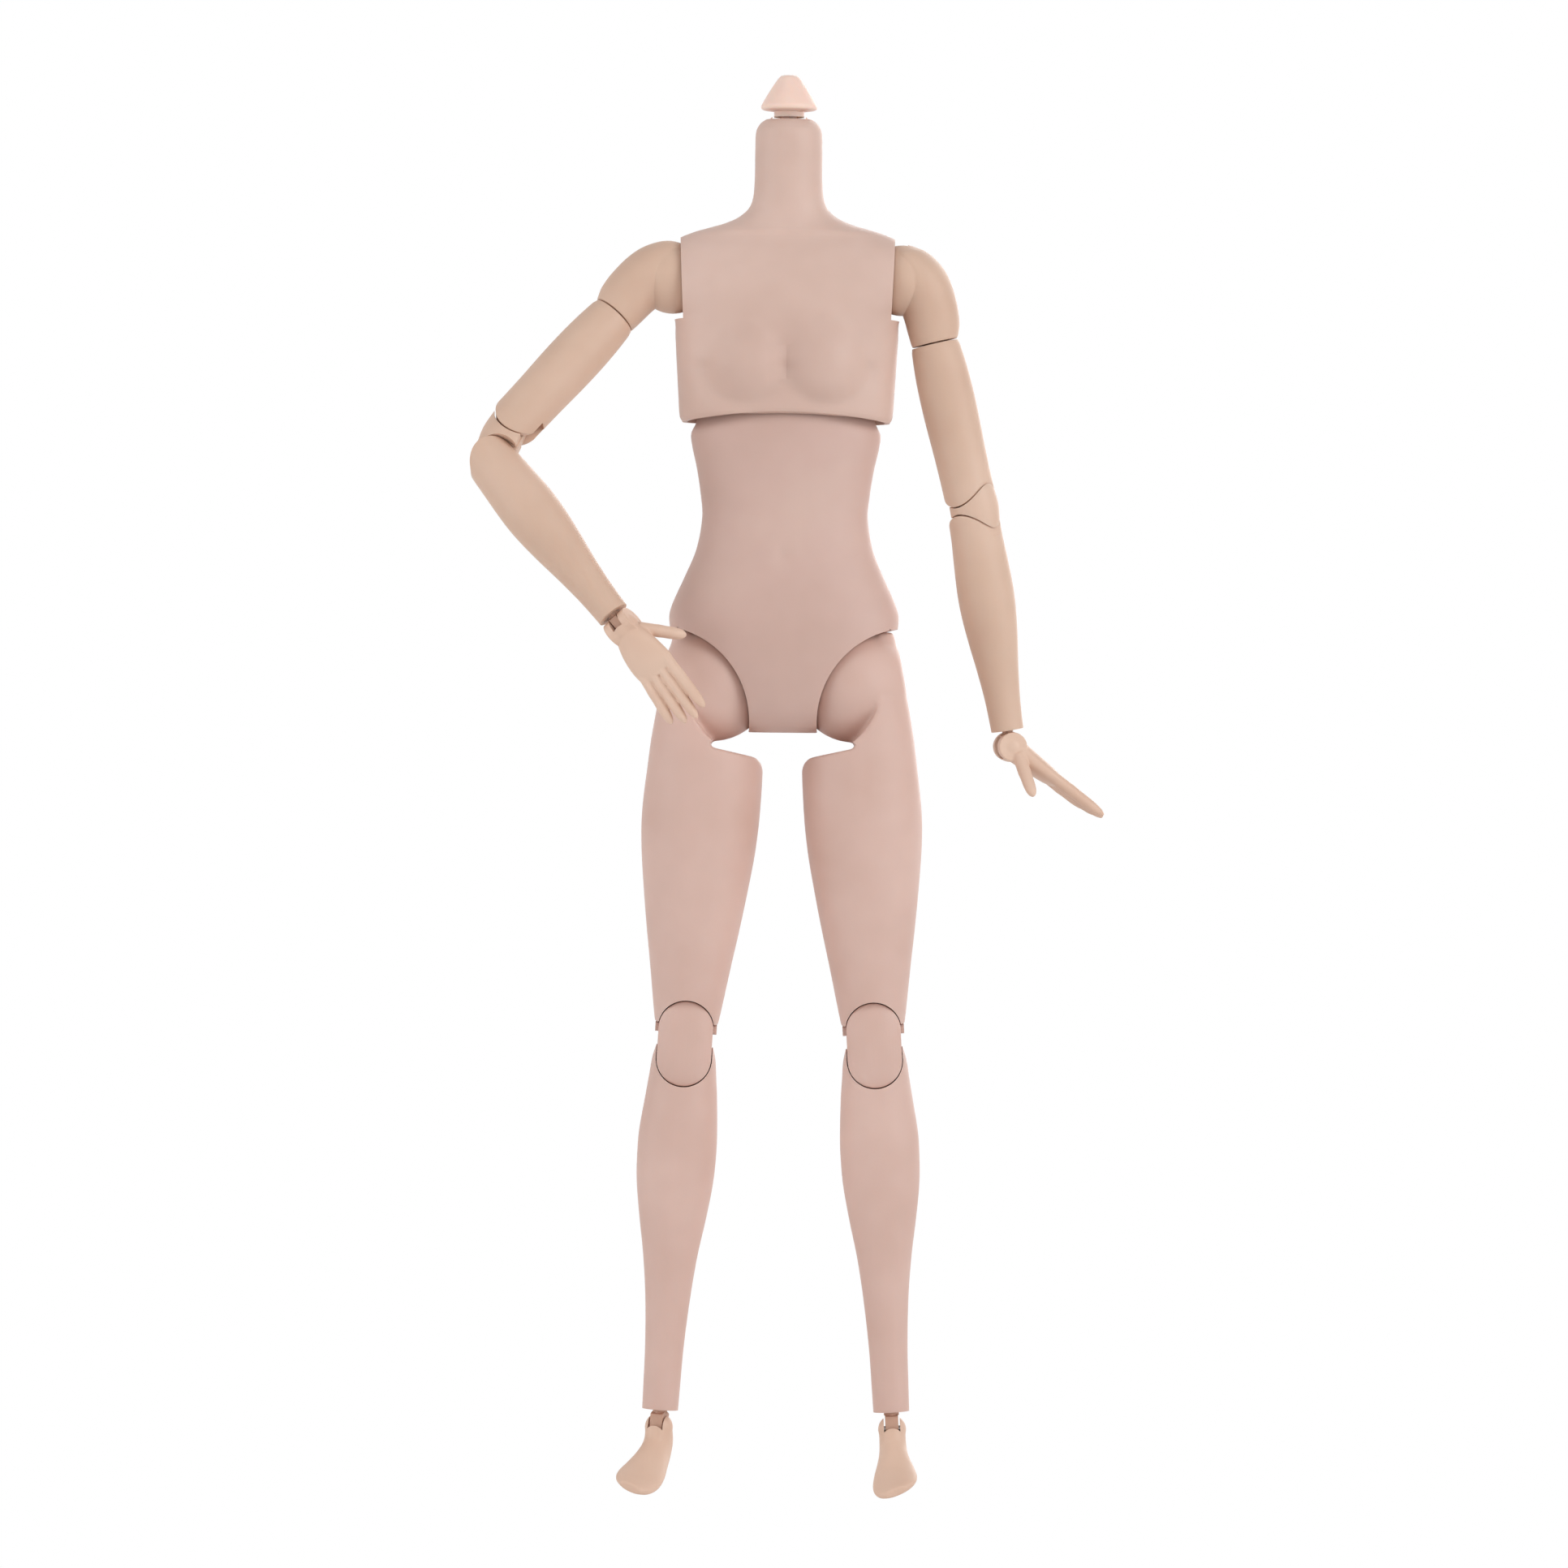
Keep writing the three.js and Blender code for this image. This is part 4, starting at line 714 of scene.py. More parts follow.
def collar_form():
    base = NECK_PIVOT_DROP - COLLAR_LENGTH
    profile = [(0, base), (COLLAR_RADIUS, base)] + dome_arc(COLLAR_DOME, COLLAR_RADIUS)[::-1]
    flare_top = NECK_PIVOT_DROP + COLLAR_FLARE_HEIGHT
    flare = spun("flare", [(0, COLLAR_DOME / 2), (COLLAR_RADIUS, COLLAR_DOME / 2),
                           (COLLAR_RADIUS, NECK_PIVOT_DROP), (STEM_RADIUS, flare_top), (0, flare_top)])
    carve(flare, block(2 * (STEM_RADIUS + RUNNING_GAP), 4 * COLLAR_RADIUS, 4 * COLLAR_DOME))
    piece = merge(spun("neck_collar_ring", profile), flare)
    slot = swing_slot(STEM_RADIUS + RUNNING_GAP, STEM_RADIUS / 2 + RUNNING_GAP, 2 * COLLAR_DOME,
                      90 - NOD_REACH, 90 + NOD_REACH, "X")
    return carve(piece, slot, bar(NECK_PIN_RADIUS + PIN_GAP, 3 * COLLAR_RADIUS, "X"))


def knob_form():
    dome = COLLAR_DOME + SEAM_GAP
    stem_top = dome + STEM_HEIGHT
    rim_base = stem_top + RUNNING_GAP
    cone_base = rim_base + KNOB_RIM
    profile = dome_arc(dome, STEM_RADIUS) + [
        (STEM_RADIUS, stem_top),
        (KNOB_RADIUS - 1.5 * RUNNING_GAP, rim_base),
        (KNOB_RADIUS - 0.5 * RUNNING_GAP, rim_base + KNOB_RIM / 8),
        (KNOB_RADIUS, rim_base + KNOB_RIM / 3),
        (KNOB_RADIUS, rim_base + 0.62 * KNOB_RIM),
        (0.96 * KNOB_RADIUS, cone_base),
        (0.8 * KNOB_RADIUS, cone_base + 0.28 * KNOB_CONE),
        (0.64 * KNOB_RADIUS, cone_base + 0.54 * KNOB_CONE),
        (0.5 * KNOB_RADIUS, cone_base + 0.75 * KNOB_CONE),
        (0.4 * KNOB_RADIUS, cone_base + 0.89 * KNOB_CONE),
        (KNOB_TIP_RADIUS, cone_base + 0.975 * KNOB_CONE),
        (0.7 * KNOB_TIP_RADIUS, cone_base + KNOB_CONE),
        (0, cone_base + KNOB_CONE),
    ]
    piece = spun("neck_knob_cap", profile)
    tail = tongue(STEM_RADIUS, STEM_RADIUS / 2, dome + RUNNING_GAP, 90, "X")
    return carve(merge(piece, tail), bar(NECK_PIN_RADIUS + PIN_GAP, 2 * STEM_RADIUS, "X"))


# Shoulder cap
CAP_SHARES = [
    [1, 0.61, 0.78, 0.72],
    [0.96, 0.63, 0.82, 0.75],
    [0.8, 0.685, 0.9, 0.82],
    [0.52, 0.7, 0.95, 0.92],
    [0.15, 0.59, 1, 1],
    [-0.12, 0.44, 0.93, 0.97],
    [-0.36, 0.22, 0.72, 0.78],
    [-0.49, 0.05, 0.3, 0.36],
]


def cap_form():
    rows = [(out * CAP_HALF_WIDTH, 0, -down * CAP_LENGTH, width * CAP_HALF_WIDTH, depth * CAP_HALF_DEPTH,
             depth * CAP_HALF_DEPTH, 2) for down, out, width, depth in CAP_SHARES]
    piece = merge(skin("cap", rows, LIMB_SIDES, 5), ball(SHOULDER_BALL, sides=LIMB_SIDES))
    slot = swing_slot(SHOULDER_TONGUE + 2 * RUNNING_GAP, SHOULDER_EYE + RUNNING_GAP, 2 * SHOULDER_BALL,
                      180 - LIFT_REACH, 180, "Y")
    bore = peg_room(BICEPS_PEG_RADIUS, BICEPS_PEG_LENGTH, BICEPS_HEAD_RADIUS, BICEPS_HEAD_HEIGHT, PIN_GAP)
    return carve(
        piece,
        slot,
        bar(SHOULDER_PIN + PIN_GAP, 2 * SHOULDER_BALL - 4 * SHOULDER_PIN, "Y"),
        moved(bore, CAP_OUT, 0, -CAP_LENGTH),
    )


# Upper arm, elbow link and forearm
UPPER_ARM_SHARES = [
    [0, 0, 0.85, 0.86, 0.86],
    [0.04, 0, 0.9, 0.91, 0.91],
    [0.25, 0, 0.98, 0.98, 0.99],
    [0.5, 0, 1, 0.98, 1],
    [0.8, 0, 0.96, 0.93, 0.95],
    [1, 0, 0.95, 0.9, 0.92],
    [1.2, 0, 0.95, 0.9, 0.92],
]
FOREARM_SHARES = [
    [-0.14, 0, 0.9, 0.86, 0.88],
    [0, 0, 0.9, 0.88, 0.9],
    [0.1, 0, 0.94, 0.92, 0.95],
    [0.28, 0, 1, 0.95, 0.98],
    [0.4, 0, 0.97, 0.92, 0.94],
    [0.54, 0, 0.87, 0.82, 0.85],
    [0.68, 0, 0.74, 0.7, 0.73],
    [0.83, 0, 0.63, 0.6, 0.62],
    [0.94, 0, 0.585, 0.57, 0.57],
    [1, 0, 0.57, 0.56, 0.56],
]


def round_end(radius, half_width, below):
    away = -1 if below else 1
    room = moved(block(4 * half_width, 4 * half_width, 2 * half_width), 0, 0, away * half_width)
    return carve(room, bar(radius, 5 * half_width, "Y", LIMB_SIDES))


def upper_arm_form():
    piece = skin("upper_arm", hanging(UPPER_ARM_SHARES, UPPER_ARM_LENGTH, UPPER_ARM_RADIUS))
    peg = peg_room(BICEPS_PEG_RADIUS, BICEPS_PEG_LENGTH, BICEPS_HEAD_RADIUS, BICEPS_HEAD_HEIGHT, 0)
    merge(piece, moved(peg, 0, 0, RUNNING_GAP))
    slot = swing_slot(ELBOW_TONGUE + 2 * RUNNING_GAP, ELBOW_EYE + RUNNING_GAP, 2 * ELBOW_RADIUS,
                      -90 - ELBOW_FOLD, -90, "Y")
    return carve(
        piece,
        moved(round_end(ELBOW_RADIUS, UPPER_ARM_RADIUS, True), 0, 0, -UPPER_ARM_LENGTH),
        moved(slot, 0, 0, -UPPER_ARM_LENGTH),
        moved(bar(ELBOW_PIN + PIN_GAP, 2 * UPPER_ARM_RADIUS - 3 * ELBOW_PIN, "Y"), 0, 0, -UPPER_ARM_LENGTH),
    )


# Elbow link sections: height, sideways shift and half width
ELBOW_LINK_SHARES = [(0.05, 0.06, 0.9), (0.25, 0.08, 0.96), (0.5, 0.1, 1), (0.75, 0.08, 0.96),
                     (0.95, 0.05, 0.9)]


def elbow_link_form():
    rows = [(out * ELBOW_RADIUS, 0, -down * ELBOW_SPACING, width * ELBOW_RADIUS,
             0.93 * width * ELBOW_RADIUS, 0.96 * width * ELBOW_RADIUS, 2)
            for down, out, width in ELBOW_LINK_SHARES]
    piece = skin("elbow_link", rows)
    flexor_x = ELBOW_RADIUS * cos(radians(ELBOW_FOLD))
    carve(
        piece,
        bar(ELBOW_RADIUS + RUNNING_GAP, 4 * ELBOW_RADIUS, "Y", LIMB_SIDES),
        moved(bar(FOREARM_TOP_RADIUS + RUNNING_GAP, 4 * ELBOW_RADIUS, "Y", LIMB_SIDES), 0, 0, -ELBOW_SPACING),
        moved(block(2 * ELBOW_RADIUS, 4 * ELBOW_RADIUS, 2 * ELBOW_SPACING),
              -flexor_x - ELBOW_RADIUS, 0, -ELBOW_SPACING / 2),
    )
    reach = ELBOW_SPACING - ELBOW_RADIUS
    merge(
        piece,
        tongue(ELBOW_TONGUE, ELBOW_EYE, reach, -90, "Y"),
        moved(tongue(ELBOW_TONGUE, ELBOW_EYE, reach, 90, "Y"), 0, 0, -ELBOW_SPACING),
    )
    return carve(
        piece,
        bar(ELBOW_PIN + PIN_GAP, 2 * ELBOW_TONGUE, "Y"),
        moved(bar(ELBOW_PIN + PIN_GAP, 2 * ELBOW_TONGUE, "Y"), 0, 0, -ELBOW_SPACING),
    )


def forearm_form():
    piece = skin("forearm", hanging(FOREARM_SHARES, FOREARM_LENGTH, FOREARM_RADIUS))
    slot = swing_slot(ELBOW_TONGUE + 2 * RUNNING_GAP, ELBOW_EYE + RUNNING_GAP, 2 * ELBOW_RADIUS,
                      90, 90 + ELBOW_FOLD, "Y")
    bore = peg_room(WRIST_PEG_RADIUS, WRIST_PEG_LENGTH, WRIST_HEAD_RADIUS, WRIST_PEG_RADIUS, PIN_GAP)
    return carve(
        piece,
        round_end(FOREARM_TOP_RADIUS, FOREARM_RADIUS, False),
        slot,
        bar(ELBOW_PIN + PIN_GAP, 2 * FOREARM_RADIUS - 4 * ELBOW_PIN, "Y"),
        moved(bore, 0, 0, -FOREARM_LENGTH),
    )


# Hand: across the palm is X with the thumb at -X, the back of the hand is -Y
PALM_SHARES = [
    [-0.02, 0, 0.55, 1.15],
    [0.15, 0, 0.68, 1.25],
    [0.4, 0.04, 0.86, 1.15],
    [0.7, 0.04, 0.98, 1.02],
    [0.95, 0, 1, 0.85],
    [1.12, 0, 0.93, 0.55],
]
FINGER_SHARES = [
    [-0.72, 0.95, 1],
    [-0.25, 1, 3],
    [0.22, 0.94, 5],
    [0.67, 0.8, 8],
]
FINGER_ROWS = [
    [0, 1, 1],
    [0.3, 0.99, 0.96],
    [0.42, 1.03, 0.99],
    [0.52, 0.97, 0.92],
    [0.68, 0.98, 0.9],
    [0.82, 0.9, 0.82],
    [0.93, 0.7, 0.62],
    [1, 0.28, 0.28],
]


def digit(length, half_width, half_depth):
    rows = [(0, 0, -down * length, width * half_width, depth * half_depth, depth * half_depth, 2)
            for down, width, depth in FINGER_ROWS]
    return skin("digit", rows, 24, 3)


def hand_form():
    palm = skin("hand", [(out * PALM_HALF_WIDTH, 0, -down * PALM_LENGTH, width * PALM_HALF_WIDTH,
                          depth * PALM_HALF_DEPTH, depth * PALM_HALF_DEPTH, 2.3)
                         for down, out, width, depth in PALM_SHARES], SMALL_SIDES, 4)
    merge(palm, ball(WRIST_RADIUS), bar(0.94 * WRIST_RADIUS, 2 * WRIST_HALF_WIDTH, "X"))
    finger_length = HAND_LENGTH - PALM_LENGTH
    for across, length, spread in FINGER_SHARES:
        finger = digit(length * finger_length + PALM_HALF_DEPTH, FINGER_HALF_WIDTH, FINGER_HALF_DEPTH)
        turned(finger, -spread, "Y")
        merge(palm, moved(finger, across * PALM_HALF_WIDTH, 0, PALM_HALF_DEPTH - PALM_LENGTH))
    thumb = turned(turned(digit(THUMB_LENGTH, THUMB_HALF_WIDTH, THUMB_HALF_DEPTH), THUMB_DIP, "X"),
                   THUMB_SPLAY, "Y")
    merge(palm, moved(thumb, -0.5 * PALM_HALF_WIDTH, PALM_HALF_DEPTH / 3, -0.18 * PALM_LENGTH))
    fuse(palm, *HAND_FUSE)
    slot = swing_slot(WRIST_TONGUE + 2 * RUNNING_GAP, WRIST_EYE + RUNNING_GAP, 2 * WRIST_RADIUS,
                      90 - WRIST_REACH, 90 + WRIST_REACH, "X")
    return carve(palm, slot, bar(WRIST_PIN + PIN_GAP, 2 * WRIST_RADIUS - WRIST_PIN, "X"))


# Thigh, knee and calf
THIGH_SHARES = [
    [-0.15, 0.28, 0.43, 0.38, 0.4],
    [-0.087, 0.18, 0.6, 0.66, 0.7],
    [0, 0.09, 0.8, 0.86, 0.93],
    [0.1, 0.06, 0.93, 0.97, 1.03],
    [0.2, 0.057, 0.985, 1, 1.07],
    [0.37, 0.057, 0.995, 1, 1.05],
    [0.485, 0.057, 0.96, 0.96, 1],
    [0.6, 0.057, 0.88, 0.88, 0.93],
    [0.71, 0.057, 0.79, 0.8, 0.85],
    [0.83, 0.057, 0.68, 0.7, 0.76],
    [0.94, 0.057, 0.585, 0.62, 0.66],
    [1, 0.057, 0.53, 0.58, 0.61],
]
CALF_SHARES = [
    [-0.035, 0, 0.72, 0.78, 0.82],
    [0, 0, 0.8, 0.84, 0.9],
    [0.05, 0, 0.85, 0.88, 1],
    [0.1, 0, 0.9, 0.88, 1.1],
    [0.21, 0.02, 0.99, 0.86, 1.22],
    [0.27, 0.02, 1, 0.84, 1.22],
    [0.35, 0.02, 0.97, 0.8, 1.14],
    [0.45, 0.015, 0.85, 0.72, 0.95],
    [0.56, 0.01, 0.69, 0.62, 0.74],
    [0.68, 0, 0.57, 0.53, 0.58],
    [0.82, 0, 0.49, 0.48, 0.5],
    [0.94, 0, 0.465, 0.47, 0.48],
    [1, 0, 0.455, 0.46, 0.47],
]

# Points of x, z on the outer side of the hip
HIP_SIDE = [(8.3, 9), (9, 2), (9.9, -5), (10.6, -11), (11.05, -17), (12.2, -26), (16, -36)]
HIP_SIDE_START = 0.86
HIP_SIDE_ALLOWANCE = 1.03

# Points of x, z around the lobe's room: its rounded corner at the notch, and its wall beside the ball
LOBE_CORNER = [(-10.6, -2), (-10.35, 0), (-9.8, 1.4), (-8.8, 2.3), (-7.2, 2.6)]
LOBE_WALL = [(0.4, -9.6), (2.2, -7.6), (3.8, -5), (4.7, -2)]


def lobe_room():
    inner = THIGH_HALF_WIDTH + CUT_OVERRUN
    tip = HIP_BALL + THIGH_NOTCH_RADIUS
    outline = [(5, THIGH_HALF_WIDTH), (-inner, THIGH_HALF_WIDTH), (-inner, -THIGH_NOTCH - 3)]
    outline += [(x, -THIGH_NOTCH + z) for x, z in LOBE_CORNER]
    outline += [(THIGH_NOTCH_RADIUS * cos(a) - NOTCH_TIP, THIGH_NOTCH_RADIUS * sin(a) - tip)
                for a in np.linspace(-pi / 2, pi / 2, 13)]
    return drawn_out(outline + LOBE_WALL, 4 * THIGH_HALF_WIDTH)


# The outer side of the hip is pressed in softly until it is flush with the thigh
def flatten_hip_side(piece):
    reaches, rises = zip(*HIP_SIDE[::-1])
    for vertex in piece.data.vertices:
        limit = HIP_SIDE_ALLOWANCE * MM * float(np.interp(vertex.co.z / MM, rises, reaches))
        start = HIP_SIDE_START * limit
        if vertex.co.x > start:
            vertex.co.x = start + (limit - start) * float(np.tanh((vertex.co.x - start) / (limit - start)))


def fold_room(radius, below):
    size = 6 * radius
    distance = KNEE_SPACING / 2 - RUNNING_GAP
    room = moved(block(size, size, size), 0, size / 2, 0)
    turned(room, -(90 - KNEE_FOLD), "X")
    moved(room, 0, distance * sin(radians(KNEE_FOLD)), -distance * cos(radians(KNEE_FOLD)))
    return room if below else turned(room, 180, "Y")


def knee_socket():
    return ball(KNEE_HALF_WIDTH + RUNNING_GAP, KNEE_RADIUS + RUNNING_GAP, KNEE_RADIUS + RUNNING_GAP)


def knee_window(way):
    half_width = KNEECAP_HALF_WIDTH + RUNNING_GAP
    reach = 3 * half_width
    arch = moved(bar(half_width, 2 * THIGH_HALF_WIDTH, "Y", LIMB_SIDES), 0, -THIGH_HALF_WIDTH, 0)
    room = moved(block(2 * half_width, 2 * THIGH_HALF_WIDTH, reach), 0, -THIGH_HALF_WIDTH, way * reach / 2)
    return merge(arch, room)


def corner_trim():
    size = 4 * THIGH_HALF_WIDTH
    above = moved(block(size, size, size), 0, 0, size / 2)
    return carve(above, bar(HIP_CORNER, 2 * HIP_CORNER_HALF_DEPTH, "Y", TORSO_SIDES), ball(HIP_BALL))


def thigh_form():
    piece = skin("thigh", hanging(THIGH_SHARES, THIGH_LENGTH, THIGH_HALF_WIDTH, 2.1), LIMB_SIDES, 5)
    carve(piece, lobe_room(), corner_trim())
    merge(piece, ball(HIP_BALL, sides=TORSO_SIDES))
    fuse(piece, *THIGH_FUSE)
    flatten_hip_side(piece)
    knee = (THIGH_OUT, 0, -KNEE_DROP)
    slot = swing_slot(2 * (HIP_SWIVEL_RADIUS + RUNNING_GAP), HIP_SWIVEL_RADIUS + RUNNING_GAP, 2 * HIP_BALL,
                      180 - SPREAD_REACH, 180 + CLOSE_REACH, "Y")
    return carve(
        piece,
        moved(fold_room(KNEE_RADIUS, True), *knee),
        moved(knee_window(-1), *knee),
        slot,
        bar(HIP_PIN + PIN_GAP, 2 * (HIP_BALL - 2 * HIP_PIN), "Y"),
        moved(knee_socket(), *knee),
        moved(bar(KNEE_PIN + PIN_GAP, 2 * (KNEE_HALF_WIDTH + KNEE_PIN), "X"), *knee),
    )


# Kneecap sections down the link: height, half width and front
KNEECAP_SHARES = [(-1, 1.1, 0.84), (-0.4, 1.3, 0.96), (0.5, 1.35, 1.02), (1.4, 1.3, 0.96), (2, 1.1, 0.84)]


def knee_link_form():
    piece = ball(KNEE_HALF_WIDTH, KNEE_RADIUS, KNEE_RADIUS)
    merge(piece, moved(ball(KNEE_HALF_WIDTH, KNEE_RADIUS, KNEE_RADIUS), 0, 0, -KNEE_SPACING))
    rows = [(0, 0, -down * KNEE_SPACING, width * KNEECAP_HALF_WIDTH,
             front * (KNEE_RADIUS + KNEECAP_BULGE), KNEECAP_START, 2.4)
            for down, width, front in KNEECAP_SHARES]
    reach = 2 * (KNEE_RADIUS + KNEECAP_BULGE)
    half_width = KNEECAP_HALF_WIDTH + KNEECAP_FIT
    half_turn = np.linspace(0, pi, 25)
    outline = [(half_width * cos(a), half_width * sin(a)) for a in half_turn]
    outline += [(-half_width * cos(a), -half_width * sin(a) - KNEE_SPACING) for a in half_turn]
    plate = drawn_out(outline, reach)
    moved(plate, 0, -reach / 2 - KNEECAP_START, 0)
    merge(piece, keep_inside(skin("kneecap", rows, LIMB_SIDES, 6), plate))
    fuse(piece, *KNEE_FUSE)
    return carve(
        piece,
        bar(KNEE_PIN + PIN_GAP, 4 * KNEE_HALF_WIDTH, "X"),
        moved(bar(KNEE_PIN + PIN_GAP, 4 * KNEE_HALF_WIDTH, "X"), 0, 0, -KNEE_SPACING),
    )


def calf_form():
    piece = skin("calf", hanging(CALF_SHARES, CALF_LENGTH, CALF_HALF_WIDTH), LIMB_SIDES, 5)
    bore = peg_room(ANKLE_PEG_RADIUS, ANKLE_PEG_LENGTH, ANKLE_HEAD_RADIUS, ANKLE_HEAD_HEIGHT, PIN_GAP)
    return carve(
        piece,
        fold_room(KNEE_RADIUS, False),
        knee_window(1),
        knee_socket(),
        bar(KNEE_PIN + PIN_GAP, 2 * (KNEE_HALF_WIDTH + KNEE_PIN / 2), "X"),
        moved(bore, 0, 0, -CALF_LENGTH),
    )


# Foot sections along the arch
FOOT_SHARES = [
    [0, 0, 0.6, 0.7, 0],
    [0.2, -0.03, 0.6, 0.96, 8],
    [0.38, 0.05, 0.64, 1, 26],
    [0.53, 0.2, 0.76, 0.86, 42],
    [0.68, 0.42, 0.94, 0.66, 56],
    [0.79, 0.66, 1, 0.47, 68],
    [0.86, 0.86, 0.82, 0.34, 77],
    [0.89, 0.97, 0.48, 0.22, 84],
]


# The inner side of the toes drops below the outer side
def slope_toes(piece):
    for vertex in piece.data.vertices:
        forward = max(0, -vertex.co.y / MM / FOOT_REACH)
        vertex.co.z += TOE_SLOPE * vertex.co.x * forward
    return piece


def foot_form():
    rows = [(0, -reach * FOOT_REACH, -drop * FOOT_DROP, width * FOOT_HALF_WIDTH,
             depth * FOOT_HALF_DEPTH, depth * FOOT_HALF_DEPTH, 2.2, radians(pitch))
            for drop, reach, width, depth, pitch in FOOT_SHARES]
    piece = merge(slope_toes(skin("foot", rows, SMALL_SIDES, 5)), ball(ANKLE_RADIUS))
    fuse(piece, *FOOT_FUSE)
    slot = swing_slot(ANKLE_TONGUE + 2 * RUNNING_GAP, ANKLE_EYE + RUNNING_GAP, 2 * ANKLE_RADIUS,
                      90 - ANKLE_REACH, 90 + ANKLE_REACH, "X")
    return carve(piece, slot, bar(ANKLE_PIN + PIN_GAP, 2 * (ANKLE_RADIUS - ANKLE_PIN), "X"))


# Materials
def new_material(name):
    material = bpy.data.materials.new(name)
    material.use_nodes = True
    nodes, links = material.node_tree.nodes, material.node_tree.links
    shader = nodes["Principled BSDF"]
    place = nodes.new("ShaderNodeTexCoord")
    return material, nodes, links, shader, place


def noise(nodes, links, place, scale, detail=2, roughness=0.5):
    node = nodes.new("ShaderNodeTexNoise")
    node.inputs["Scale"].default_value = scale
    node.inputs["Detail"].default_value = detail
    node.inputs["Roughness"].default_value = roughness
    links.new(place.outputs["Object"], node.inputs["Vector"])
    return node.outputs["Fac"]


def ramp(nodes, links, value, stops):
    node = nodes.new("ShaderNodeValToRGB")
    elements = node.color_ramp.elements
    while len(elements) < len(stops):
        elements.new(0.5)
    for element, (position, colour) in zip(elements, stops):
        element.position = position
        element.color = colour
    links.new(value, node.inputs["Fac"])
    return node.outputs["Color"]


def screen(red, green, blue):
    return tuple(((c / 255 + 0.055) / 1.055) ** 2.4 for c in (red, green, blue)) + (1,)


# Moulded plastic: clouded pigment, a fine mould grain and faint flow marks, with a soft sheen
def moulded_plastic(name, low, middle, high, roughness=0.5, glow=0.12, grain=0.06):
    material, nodes, links, shader, place = new_material(name)
    clouds = noise(nodes, links, place, 42, 3, 0.55)
    colour = ramp(nodes, links, clouds, [(0.3, screen(*low)), (0.5, screen(*middle)), (0.72, screen(*high))])
    links.new(colour, shader.inputs["Base Color"])
    sheen = nodes.new("ShaderNodeMapRange")
    sheen.inputs["To Min"].default_value = roughness - 0.06
    sheen.inputs["To Max"].default_value = roughness + 0.08
    links.new(noise(nodes, links, place, 160, 3), sheen.inputs["Value"])
    links.new(sheen.outputs["Result"], shader.inputs["Roughness"])
    bump = nodes.new("ShaderNodeBump")
    bump.inputs["Strength"].default_value = grain
    bump.inputs["Distance"].default_value = 0.00012
    links.new(noise(nodes, links, place, 2600, 2), bump.inputs["Height"])
    ripple = nodes.new("ShaderNodeBump")
    ripple.inputs["Strength"].default_value = 0.12
    ripple.inputs["Distance"].default_value = 0.0004
    links.new(noise(nodes, links, place, 120, 1), ripple.inputs["Height"])
    links.new(bump.outputs["Normal"], ripple.inputs["Normal"])
    links.new(ripple.outputs["Normal"], shader.inputs["Normal"])
    shader.inputs["Subsurface Weight"].default_value = glow
    shader.inputs["Subsurface Radius"].default_value = (0.0024, 0.0012, 0.0008)
    shader.inputs["Subsurface Scale"].default_value = 1
    shader.inputs["Specular IOR Level"].default_value = 0.4
    return material


def pin_steel():
    material, nodes, links, shader, place = new_material("drawn_pin_steel")
    colour = ramp(nodes, links, noise(nodes, links, place, 900, 2),
                  [(0.3, screen(176, 174, 172)), (0.7, screen(205, 204, 203))])
    links.new(colour, shader.inputs["Base Color"])
    shader.inputs["Metallic"].default_value = 1
    shader.inputs["Roughness"].default_value = 0.34
    return material


TORSO_PLASTIC = moulded_plastic("torso_plastic", (204, 173, 160), (211, 181, 168), (218, 189, 177))
# The belly and pelvis wear a darker copy of the torso plastic: painted shade, standing in for the weaker
# light they get than the chest
BELLY_PLASTIC_PAINTED_SHADE = moulded_plastic("belly_plastic_painted_shade", (199, 167, 155), (206, 174, 163), (212, 182, 170))
ARM_PLASTIC = moulded_plastic("arm_plastic", (205, 171, 150), (211, 179, 158), (218, 187, 167))
LEG_PLASTIC = moulded_plastic("leg_plastic", (207, 173, 160), (213, 180, 168), (220, 188, 176))
HAND_PLASTIC = moulded_plastic("hand_vinyl", (214, 178, 156), (221, 188, 167), (227, 197, 177),
                               glow=0.02, grain=0.03)
KNOB_PLASTIC = moulded_plastic("knob_plastic", (238, 202, 186), (243, 211, 196), (247, 219, 206),
                               roughness=0.38, glow=0.35)
# The collar's orange-pink is partly its translucent reddish plastic and partly painted shade under the knob
COLLAR_PLASTIC_AND_PAINTED_SHADE = moulded_plastic("collar_plastic_and_painted_shade", (214, 166, 144), (220, 174, 152), (226, 184, 163),
                                 roughness=0.45, glow=0.2)
INNER_PLASTIC = moulded_plastic("inner_plastic", (190, 150, 129), (199, 161, 140), (206, 170, 150),
                                glow=0.1)
PIN_STEEL = pin_steel()


def wear(piece, material):
    piece.data.materials.clear()
    piece.data.materials.append(material)


# Putting a piece where its joints hold it
def joint_place(parent, x, y, z, axis, degrees, side=1):
    angle = radians(degrees) * (1 if axis == "X" else side)
    return parent @ Matrix.Translation((x * side * MM, y * MM, z * MM)) @ Matrix.Rotation(angle, 4, axis)


def settle(form, name, place, side, material, body, nodes):
    take(form)
    bpy.ops.object.duplicate()
    piece = bpy.context.object
    piece.name = name
    if side < 0:
        piece.scale = (-1, 1, 1)
        apply_place(piece)
        edit(piece)
        bpy.ops.mesh.normals_make_consistent(inside=False)
        object_mode()
    piece.data.transform(place)
    wear(piece, material)
    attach(piece, body)
    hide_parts(*nodes)


root = Matrix.Identity(4)
spine = joint_place(root, 0, 0, WAIST_TO_SPINE_PIVOT, "Z", 0)

pelvis_front, pelvis_back = halves(pelvis_form(), "pelvis_front_shell", "pelvis_back_shell")
# The pelvis shells wear the darker belly plastic, whose darkness is painted shade
for shell, node in ((pelvis_front, "pelvis_front"), (pelvis_back, "pelvis_back")):
    finish_shell(shell)
    wear(shell, BELLY_PLASTIC_PAINTED_SHADE)
    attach(shell, "pelvis")
    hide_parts(node)

